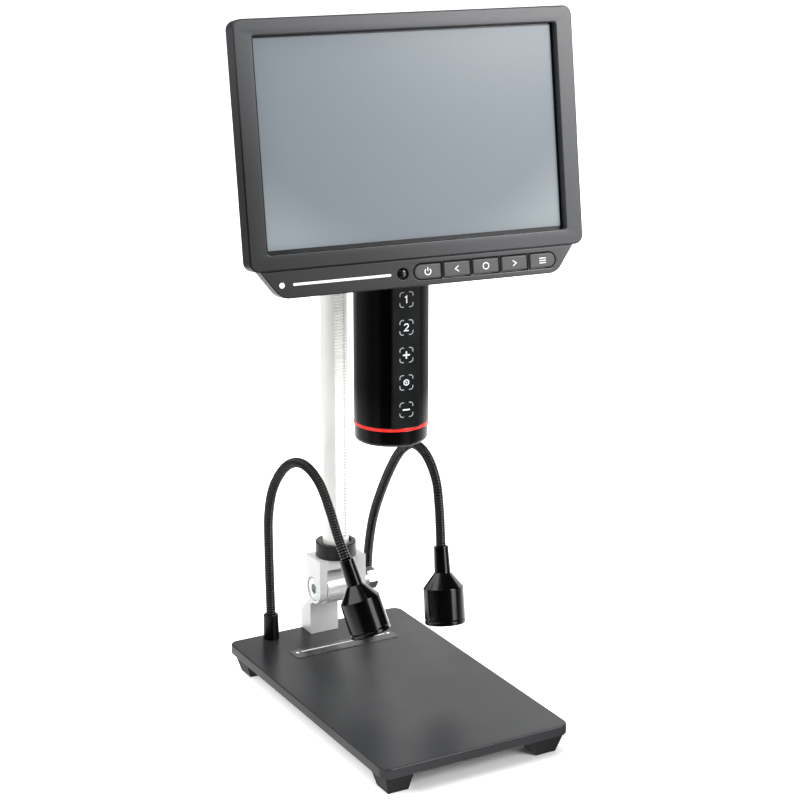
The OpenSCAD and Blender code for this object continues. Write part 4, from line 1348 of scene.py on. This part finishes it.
@dataclass
class Stand:
    """The base plate, its label, the hinge post, the clevis block, the collar and the sockets.

    Attributes:
        shop: Makes the pieces.
        width: Width of the base plate.
        length: Length of the base plate.
        corner: Radius of its corners.
        low: Height of its underside.
        top: Height of its face.
        hinge: Place of the hinge along y and its height.
        post_half: Half width of the post.
        knuckle_r: Radius of the post's round head.
        cheek_half: Half width of the clevis block from front to back, and radius of its lower end.
        left_cheek: Places across the model of the left cheek's faces.
        right_cheek: The same for the right cheek.
        head_hole: Radius of the hole for the bolt's head.
        bolt_hole: Radius of the hole for the bolt.
        block_top: Height of the clevis block's top, where the collar stands.
        label_at: Place of the label's middle.
        label_size: Width and length of the label.
        label_depth: Heights of the label's faces.
        shadow_line_depth: Heights of the dark line round it, painted shadow at the label's edges.
        print_depth: Heights of its print.
        line_size: Length and width of its line.
        dots_x: Places of its dots across the model.
        dot_r: Radius of its dots.
        column_y: Place of the column along the model.
        collar_r: Radius of the collar.
        collar_bore: Radius of its bore.
        collar_height: Height of the collar.
        socket_at: Places of the goosenecks' sockets, across and along the model.
        socket_top: Height of the sockets.
    """

    shop: Workshop
    width: float = 120.0
    length: float = 200.0
    corner: float = 6.0
    low: float = 11.7
    top: float = 17.7
    hinge: Pair = (71.6, 54.0)
    post_half: float = 9.7
    knuckle_r: float = 10.2
    cheek_half: float = 9.4
    left_cheek: Pair = (-15.0, -9.9)
    right_cheek: Pair = (9.9, 16.5)
    head_hole: float = 7.4
    bolt_hole: float = 4.05
    block_top: float = 74.3
    label_at: Pair = (1.0, 62.0)
    label_size: Pair = (70.0, 12.0)
    label_depth: Pair = (16.9, 18.0)
    shadow_line_depth: Pair = (17.5, 17.86)
    print_depth: Pair = (17.9, 18.05)
    line_size: Pair = (58.0, 1.1)
    dots_x: Pair = (-30.1, 32.7)
    dot_r: float = 1.1
    column_y: float = 70.1
    collar_r: float = 12.4
    collar_bore: float = 8.1
    collar_height: float = 9.5
    socket_at: Pair = (33.7, 93.2)
    socket_top: float = 33.5

    def build(self) -> None:
        """Makes the base's and the hinge's visible pieces."""
        outline = round_rect(self.width, self.length, self.corner, steps=10)
        top = plate(outline, (self.low, self.top), bevel=0.4, back_bevel=0.7)
        self.shop.piece("base_top", top, PLATE, Body.BASE, replaces=["base_plate"])
        self._label()
        self._post()
        self._clevis()
        self._collar()
        self._sockets()

    def _label(self) -> None:
        """Makes the label plate with a dark line round it as painted shadow, its printed line and its two
        dots.
        """
        (x, y), (w, h) = self.label_at, self.label_size
        card = plate(round_rect(w, h, 2.2, x, y), self.label_depth, bevel=0.05, back_bevel=0.25)
        self.shop.piece("label", card, LABEL, Body.BASE, replaces=["label_plate"])
        # A thin dark ring round the label stands in for the shadow along its edges: painted shadow.
        hole = round_rect(w - 0.6, h - 0.6, 1.9, x, y)
        edge = plate(round_rect(w + 0.6, h + 0.6, 2.5, x, y), self.shadow_line_depth, [hole])
        self.shop.piece("label_shadow_line", edge, SCREEN_RIM, Body.BASE, flat_caps=False)
        line = plate(round_rect(*self.line_size, 0.4, x + 0.4, y + 2), self.print_depth)
        dots = [plate(circle(self.dot_r, 28, dx, y + 1.8), self.print_depth) for dx in self.dots_x]
        self.shop.piece("label_print", joined([line, *dots]), PRINT, Body.BASE, flat_caps=False)

    def _post(self) -> None:
        """Makes the post, a profile carried across the model, and its round head."""
        (hy, hz), half, back = self.hinge, self.post_half, self.length / 2
        profile = [
            (86.4, self.top, 0), (back, self.top, 0), (back, 30.3, 0.8), (81.4, 47.7, 0.8),
            (79, hz, 0), (hy, hz, 0), (74.8, 44.4, 0), (86.4, 37.7, 0.8),
        ]
        block = plate(rounded(profile, 4), (-half, half), bevel=0.45).moved(placed(ACROSS))
        self.shop.piece("post", block, NICKEL, Body.BASE, replaces=["hinge_post"])
        r = self.knuckle_r
        head = turned([(0, -half, 0), (r, -half, 0.6), (r, half, 0.6), (0, half, 0)])
        self.shop.piece("knuckle", head.moved(placed(ALONG_X, (0, hy, hz))), KNUCKLE, Body.BASE)

    def _clevis(self) -> None:
        """Makes the clevis block: two cheeks round below, the web between them and a recess's floor."""
        (hy, hz), d, top = self.hinge, self.cheek_half, self.block_top
        ends = np.array([(hy + d, hz), (hy + d, top), (hy - d, top), (hy - d, hz)])
        outline = np.vstack([ends, arc(hy, hz, d, 180, 360, 32)[1:-1]])
        parts = []
        for cheek, hole in ((self.left_cheek, self.head_hole), (self.right_cheek, self.bolt_hole)):
            parts.append(plate(outline, cheek, [circle(hole, 48, hy, hz)], bevel=0.35))
        # The web stays inside the cheeks' bevels.
        inner = d - 0.36
        web = box_corners(hy - inner, hy + inner, 68.0, top - 0.02, (0, 0, 0, 0))
        parts.append(plate(rounded(web), (self.left_cheek[0] + 1, self.right_cheek[1] - 1)))
        floor = circle(self.head_hole - 0.1, 48, hy, hz)
        parts.append(plate(floor, (-11.8, -10.6), [circle(self.bolt_hole, 40, hy, hz)]))
        solid = joined(parts).moved(placed(ACROSS))
        self.shop.piece("clevis", solid, NICKEL, Body.COLUMN, replaces=["clevis_block"])

    def _collar(self) -> None:
        """Makes the black collar round the column's foot."""
        low, top = self.block_top, self.block_top + self.collar_height
        r, bore = self.collar_r, self.collar_bore
        profile = [
            (bore, low, 0), (r - 0.4, low, 0.3), (r, low + 1, 0.3), (r, top, 0.7), (bore + 1.5, top, 0.3),
            (bore, top - 1.1, 0.2),
        ]
        ring = turned_ring(profile).moved(moved_by((0, self.column_y, 0)))
        self.shop.piece("foot_collar", ring, BLACK_METAL, Body.COLUMN, replaces=["collar"])

    def _sockets(self) -> None:
        """Makes the rubber sockets that the goosenecks rise from."""
        (x, y), low, top = self.socket_at, self.top, self.socket_top
        profile = [(3.2, low, 0), (4.95, low, 0.2), (4.6, top, 0.6), (3.2, top, 0.2)]
        for side, across in (("left", -x), ("right", x)):
            cup = turned_ring(profile, sides=64).moved(moved_by((across, y, 0)))
            self.shop.piece(f"{side}_socket", cup, BOOT, Body.BASE, replaces=[f"{side}_boot"])


# ---- lamps ----


@dataclass(frozen=True)
class LampSide:
    """Route of one gooseneck and the lean of its lamp.

    Attributes:
        name: Which side it is.
        arm: Body that the gooseneck rides on.
        lamp: Body that the lamp rides on.
        route: Points of the gooseneck, from its socket to the lamp.
        lean: The lamp's turns about x and y, in degrees.
    """

    name: str
    arm: Body
    lamp: Body
    route: tuple[Vec3, ...]
    lean: Pair


LEFT = LampSide(
    "left", Body.LEFT_ARM, Body.LEFT_LAMP,
    (
        (-33.7, 93.2, 33.5), (-33.7, 93.9, 55), (-33.7, 94.4, 78), (-33.5, 94.1, 98), (-32.6, 89, 116.7),
        (-31, 76.9, 132.4), (-29, 64.4, 139.6), (-27, 52.5, 139.5), (-25, 41.4, 132.5), (-23.3, 32.2, 119),
        (-22.1, 24.9, 105.2), (-21.1, 20.3, 97.3), (-20.2, 18.4, 93.2),
    ),
    (-19.17, -10.91),
)
RIGHT = LampSide(
    "right", Body.RIGHT_ARM, Body.RIGHT_LAMP,
    (
        (33.7, 93.2, 33.5), (33.7, 92.5, 48.2), (33.7, 90.2, 67.6), (33.7, 84.1, 88.8),
        (33.7, 73.8, 108.5), (33.7, 60.8, 128.1), (33.7, 48.2, 142.2), (33.7, 33.2, 150.3),
        (33.7, 17.7, 147.3), (33.7, 6.7, 135.3), (33.7, 2.8, 119.2), (33.7, 1.4, 106), (33.7, 0.7, 97.7),
    ),
    (-12.44, 3.08),
)


@dataclass
class Lamp:
    """One gooseneck with its lamp head. The head's sizes count from the gooseneck's end, along its axis.

    Attributes:
        shop: Makes the pieces.
        side: Which lamp it is.
        pitch: Distance between the gooseneck's ribs.
        points_per_rib: Points of its route in each rib.
        groove_r: Radius of the gooseneck in its grooves.
        rib_rise: Height of its ribs.
        sides: Segments round it.
        root: Height where it starts, inside its socket.
        end_r: Radius of its rounded end.
        shine_power: How fast a rib's painted highlight and shine fall towards its grooves.
        top: Place of the head's upper end.
        cone: Place where its cone starts.
        cylinder: Place where its cylinder starts.
        end: Place where its bezel ring starts.
        ring_length: Length of the bezel ring.
        head_r: Radius of the head.
        neck_r: Radius of the head's neck at its upper end.
        bore: Radius of the bore that takes the gooseneck.
        cup: Radius inside the head.
        cup_wall: Thickness of the cone over the cup.
        lens_lip: Radius of the ring's opening.
        lens_seat: Radius of the ring's seat for the lens.
    """

    shop: Workshop
    side: LampSide
    pitch: float = 1.6
    points_per_rib: int = 8
    groove_r: float = 2.4
    rib_rise: float = 0.65
    sides: int = 24
    root: float = 19.5
    end_r: float = 2.9
    shine_power: int = 3
    top: float = -1.2
    cone: float = -16.8
    cylinder: float = -25.7
    end: float = -44.1
    ring_length: float = 3.1
    head_r: float = 12.1
    neck_r: float = 4.3
    bore: float = 3.4
    cup: float = 10.0
    cup_wall: float = 1.7
    lens_lip: float = 8.1
    lens_seat: float = 8.6

    def build(self) -> None:
        """Makes the gooseneck, the lamp body and the bezel ring."""
        self._gooseneck()
        self._head("lamp", "lamp_body", self._body_profile(), 5)
        self._head("lamp_ring", "lamp_bezel", self._ring_profile(), 3)

    def _head(self, name: str, replaced: str, profile: Sequence[Vec3], steps: int) -> None:
        """Turns one part of the head and puts it in place.

        Args:
            name: The piece's name without its side.
            replaced: Name, without its side, of the node that it stands for.
            profile: Closed profile as (radius, height, fillet).
            steps: Segments in each fillet.
        """
        side = self.side
        place = placed(turn(Axis.Y, side.lean[1]) @ turn(Axis.X, side.lean[0]), side.route[-1])
        solid = turned_ring(profile, steps).moved(place)
        self.shop.piece(f"{side.name}_{name}", solid, LAMP, side.lamp, replaces=[f"{side.name}_{replaced}"])

    def _body_profile(self) -> list[Vec3]:
        """Profile of the lamp's body: neck, cone and cylinder outside, the cup and the bore inside.

        Returns:
            A closed profile as (radius, height, fillet).
        """
        r, floor = self.head_r, self.cylinder - self.cup_wall
        return [
            (self.bore, self.top, 0), (self.neck_r, self.top, 0.25), (self.neck_r + 0.55, self.cone, 0.6),
            (r - 0.1, self.cylinder, 0.5), (r, self.end, 0.3), (self.cup, self.end, 0),
            (self.cup, floor, 0), (self.bore, floor, 0),
        ]

    def _ring_profile(self) -> list[Vec3]:
        """Profile of the bezel ring: a sleeve in the cup, a groove below the body and a lip below the lens.

        Returns:
            A closed profile as (radius, height, fillet).
        """
        r, low, groove = self.head_r, self.end - self.ring_length, self.end - 0.45
        sleeve, sleeve_top, lip, seat = self.cup - 0.1, self.end + 4, self.lens_lip, self.lens_seat
        return [
            (sleeve, sleeve_top, 0), (sleeve, groove, 0), (r - 0.5, groove, 0.3), (r, self.end - 0.9, 0.2),
            (r, low + 0.7, 0.2), (r - 0.45, low, 0.3), (lip, low, 0.2), (lip, low + 1, 0.2),
            (seat, low + 1.2, 0), (seat, sleeve_top, 0),
        ]

    def _gooseneck(self) -> None:
        """Makes the gooseneck: a tube whose radius rises and falls once in each rib, and its crests, which
        carry painted highlights.
        """
        route = self.side.route
        foot = [(route[0][0], route[0][1], self.root)]
        path = resampled(np.vstack([foot, spline(route)]), self.pitch / self.points_per_rib)
        phase = np.arange(len(path)) / self.points_per_rib % 1
        rise = np.clip(1 - (2 * phase - 1) ** 2, 0, 1)
        radii = self.groove_r + self.rib_rise * rise
        # The round end lies in the lamp's bore and turns there about the aiming axis.
        bend = np.radians(np.linspace(12, 84, 7))
        ahead = (path[-1] - path[-2]) / np.linalg.norm(path[-1] - path[-2])
        path = np.vstack([path, path[-1] + self.end_r * np.sin(bend)[:, None] * ahead])
        radii = np.concatenate([radii, self.end_r * np.cos(bend)])
        rise = np.concatenate([rise, np.full(len(bend), 0.6)])
        name = self.side.name
        neck = self.shop.piece(
            f"{name}_neck", swept(path, radii, self.sides), NECK, self.side.arm,
            replaces=[f"{name}_gooseneck"], smooth=60, flat_caps=False,
        )
        # The crest attribute paints the ribs grey as painted highlights and raises their specular level.
        crest = neck.data.attributes.new(CREST, "FLOAT", "POINT")
        crest.data.foreach_set("value", np.repeat(rise**self.shine_power, self.sides).astype(np.float32))


# ---------------------------------------------------------------------------------------------
# Studio
# ---------------------------------------------------------------------------------------------

WHITE = (1.0, 1.0, 1.0, 1.0)
ORIGIN = (0.0, 0.0, 0.0)


@dataclass(frozen=True)
class Softbox:
    """One area light, in metres and watts.

    Attributes:
        name: Its name.
        at: Where it hangs.
        aim: What it points at.
        size: Its width and height.
        power: Its power.
        mirrored: True if surfaces mirror it.
    """

    name: str
    at: Vec3
    aim: Vec3
    size: Pair
    power: float
    mirrored: bool = True


@dataclass
class Studio:
    """Floor, backdrop, lights and camera, in metres.

    Attributes:
        boxes: The lights.
        sky: Colour of the light from all round.
        sky_level: Its brightness.
        sky_mirrored: Its brightness in reflections.
        backdrop: Brightness of the backdrop to the camera.
        floor_half: Half width of the floor.
        floor_colour: Its colour.
        floor_roughness: Its roughness.
        floor_specular: Its specular level.
        shade_at: Middle of the patch of floor that shows the object's shadow.
        shade_half: Half size of that patch.
        shade_edge: Distance over which the floor bleaches round it.
        patch_at: Middle of the bright patch of floor that the base's left side mirrors.
        patch_half: Half size of that patch.
        patch_edge: Distance over which it fades.
        patch_level: Its brightness.
        sweep: Brightness of the floor in reflections, by compass azimuth from +Y in degrees.
        sweep_top: Brightness that fills the sweep's ramp.
        sweep_reach: Distances from the origin between which the sweep fades.
        sweep_far: What is left of its brightness out there.
        lens: Focal length of the camera in millimetres.
        sensor: Width of its sensor in millimetres.
        camera_at: Place of the camera.
        camera_down: How far it looks down, in degrees.
        camera_yaw: Its turn about the vertical, in degrees.
    """

    boxes: tuple[Softbox, ...] = (
        Softbox("key", (-0.9, 0.7, 1.7), (0.0, 0.0, 0.1), (2.2, 2.2), 26.0),
        Softbox("top", (0.2, -0.1, 2.0), (0.0, 0.0, 0.1), (1.5, 1.5), 20.0, mirrored=False),
        Softbox("back", (1.65, 1.15, 0.6), (0.0, 0.0, 0.15), (2.6, 1.3), 18.0),
        Softbox("left", (-1.7, 0.0, 0.9), (0.0, 0.0, 0.2), (1.0, 1.2), 15.5, mirrored=False),
        Softbox("right", (0.8, -1.4, 1.05), (0.0, 0.0, 0.3), (0.7, 0.7), 27.0),
        Softbox("strip", (0.72, -1.315, 0.27), (0.0, 0.0, 0.2), (0.68, 0.5), 2.7),
    )
    sky: Vec3 = (0.94, 0.97, 1.0)
    sky_level: float = 0.4
    sky_mirrored: float = 0.02
    backdrop: float = 1.05
    floor_half: float = 9.0
    floor_colour: Vec3 = (0.92, 0.92, 0.92)
    floor_roughness: float = 0.9
    floor_specular: float = 0.1
    shade_at: Vec3 = (0.014, -0.012, 0.0)
    shade_half: Vec3 = (0.05, 0.092, 1.0)
    shade_edge: float = 0.04
    patch_at: Vec3 = (-0.08, -0.1, 0.0)
    patch_half: Vec3 = (0.02, 0.05, 1.0)
    patch_edge: float = 0.12
    patch_level: float = 1.1
    sweep: tuple[Pair, ...] = (
        (0, 2.4), (48, 2.5), (65, 2.5), (81, 2.2), (93, 1.6), (104, 1.0), (128, 0.35), (146, 0.25),
        (153, 0.5), (160, 0.55), (168, 0.4), (176, 0.3), (184, 0.1), (212, 0.08), (238, 0.1),
        (248, 0.4), (260, 0.42), (270, 0.32), (281, 0.48), (290, 0.8), (320, 1.2), (345, 2.0), (359, 2.4),
    )
    sweep_top: float = 2.5
    sweep_reach: Pair = (0.3, 0.7)
    sweep_far: float = 0.3
    lens: float = 90.82
    sensor: float = 36.0
    camera_at: Vec3 = (-0.5298, -0.9604, 0.5131)
    camera_down: float = 16.38
    camera_yaw: float = -29.15

    def build(self) -> None:
        """Makes the studio round the object."""
        self._world()
        self._floor()
        for box in self.boxes:
            self._light(box)
        self._camera()
        bpy.context.scene.view_settings.view_transform = "Standard"

    def _world(self) -> None:
        """Makes the backdrop: white to the camera, dim in reflections, a soft sky to everything else."""
        world = bpy.data.worlds.new("studio")
        bpy.context.scene.world = world
        world.use_nodes = True
        net = Net(world.node_tree)
        path = net.add("LightPath").outputs
        soft = net.nodes["Background"]
        net.feed(soft, {"Color": (*self.sky, 1), "Strength": self.sky_level})
        dim = net.add("Background", {"Color": (*self.sky, 1), "Strength": self.sky_mirrored})
        white = net.add("Background", {"Color": WHITE, "Strength": self.backdrop})
        around = net.add("MixShader", {0: path["Is Glossy Ray"], 1: soft.outputs[0], 2: dim.outputs[0]})
        seen = net.add("MixShader", {0: path["Is Camera Ray"], 1: around.outputs[0], 2: white.outputs[0]})
        net.feed(net.nodes["World Output"], {"Surface": seen.outputs[0]})

    def _floor(self) -> None:
        """Makes the floor: white paint that glows to the camera outside the shade, and a sweep to mirrors."""
        s = self.floor_half
        mesh = bpy.data.meshes.new("floor")
        mesh.from_pydata([(-s, -s, 0), (s, -s, 0), (s, s, 0), (-s, s, 0)], [], [(0, 1, 2, 3)])
        obj = bpy.data.objects.new("floor", mesh)
        bpy.context.scene.collection.objects.link(obj)
        mat = bpy.data.materials.new("floor_white")
        mat.use_nodes = True
        net = Net(mat.node_tree)
        paint = net.nodes["Principled BSDF"]
        net.feed(
            paint,
            {
                "Base Color": (*self.floor_colour, 1),
                "Roughness": self.floor_roughness,
                "Specular IOR Level": self.floor_specular,
            },
        )
        here = net.add("TexCoord").outputs["Object"]
        outside = net.ranged(
            self._distance(net, here, self.shade_at, self.shade_half), (0.0, self.shade_edge), (0.0, 1.0)
        )
        glow = net.add("Emission", {"Strength": outside})
        bleached = net.add("AddShader", {0: paint.outputs[0], 1: glow.outputs[0]})
        path = net.add("LightPath").outputs
        mirrored = self._mirrored(net, here)
        inner = net.add("MixShader", {0: path["Is Glossy Ray"], 1: paint.outputs[0], 2: mirrored})
        seen = net.add("MixShader", {0: path["Is Camera Ray"], 1: inner.outputs[0], 2: bleached.outputs[0]})
        net.feed(net.nodes["Material Output"], {"Surface": seen.outputs[0]})
        mesh.materials.append(mat)

    def _mirrored(self, net: Net, here: bpy.types.NodeSocket) -> bpy.types.NodeSocket:
        """Adds what mirrors see of the floor: the sweep round the object and the patch at its left.

        Args:
            net: The floor's tree.
            here: The output that holds the place on the floor.

        Returns:
            The shader's output.
        """
        around = net.add("TexGradient", {"Vector": here}, gradient_type="RADIAL")
        ramp = net.add("ValToRGB", {"Fac": around.outputs["Fac"]})
        self._fill(ramp.color_ramp)
        away = self._distance(net, here, ORIGIN, ORIGIN)
        level = net.ranged(away, self.sweep_reach, (self.sweep_top, self.sweep_far))
        sweep = net.add("Emission", {"Color": ramp.outputs["Color"], "Strength": level})
        beside = self._distance(net, here, self.patch_at, self.patch_half)
        level = net.ranged(beside, (0.0, self.patch_edge), (self.patch_level, 0.0))
        patch = net.add("Emission", {"Strength": level})
        return net.add("AddShader", {0: sweep.outputs[0], 1: patch.outputs[0]}).outputs[0]

    @staticmethod
    def _distance(net: Net, here: bpy.types.NodeSocket, centre: Vec3, half: Vec3) -> bpy.types.NodeSocket:
        """Adds the distance from a box: the length of how far a point lies past its faces on each axis.

        Args:
            net: The tree.
            here: The output that holds the point.
            centre: The box's middle.
            half: Its half sizes, all zero for the distance from its middle.

        Returns:
            The distance's output.
        """
        return net.length_of(
            here, [("SUBTRACT", centre), ("ABSOLUTE", None), ("SUBTRACT", half), ("MAXIMUM", ORIGIN)]
        )

    def _fill(self, ramp: bpy.types.ColorRamp) -> None:
        """Fills a ramp with the sweep's levels, as shares of its top, and joins its two ends.

        Args:
            ramp: The ramp, which runs once round the object.
        """
        stops = sorted((((90 - az) / 360 + 0.5) % 1.0, level / self.sweep_top) for az, level in self.sweep)
        ends = (stops[0][1] + stops[-1][1]) / 2
        stops = [(0.0, ends), *stops, (1.0, ends)]
        ramp.elements[0].position, ramp.elements[1].position = 0.0, 1.0
        for at, _level in stops[1:-1]:
            ramp.elements.new(at)
        for element, (_at, level) in zip(ramp.elements, stops):
            element.color = (level, level, level, 1)

    @staticmethod
    def _light(box: Softbox) -> None:
        """Hangs one light, out of the camera's sight.

        Args:
            box: The light.
        """
        light = bpy.data.lights.new(box.name, "AREA")
        light.shape = "RECTANGLE"
        light.size, light.size_y = box.size
        light.energy = box.power
        obj = bpy.data.objects.new(box.name, light)
        obj.visible_camera = False
        obj.visible_glossy = box.mirrored
        obj.location = box.at
        obj.rotation_euler = (Vector(box.aim) - Vector(box.at)).to_track_quat("-Z", "Y").to_euler()
        bpy.context.scene.collection.objects.link(obj)

    def _camera(self) -> None:
        """Sets up the camera."""
        camera = bpy.data.cameras.new("camera")
        camera.sensor_width = self.sensor
        camera.lens = self.lens
        obj = bpy.data.objects.new("camera", camera)
        obj.location = self.camera_at
        obj.rotation_euler = (math.radians(90 - self.camera_down), 0.0, math.radians(self.camera_yaw))
        bpy.context.scene.collection.objects.link(obj)
        bpy.context.scene.camera = obj


def main() -> None:
    """Builds the dressed model in the studio and reports each piece."""
    logging.basicConfig(level=logging.INFO)
    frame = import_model()
    shop = Workshop(frame["nodes"], Shader())
    Studio().build()
    shop.dress()
    for assembly in (Screen(shop), CameraTube(shop), Stand(shop), Lamp(shop, LEFT), Lamp(shop, RIGHT)):
        before = len(shop.made)
        assembly.build()
        for piece in shop.made[before:]:
            LOG.info("%s: %s, %d faces", type(assembly).__name__, piece.name, len(piece.data.polygons))


if __name__ == "__main__":
    main()
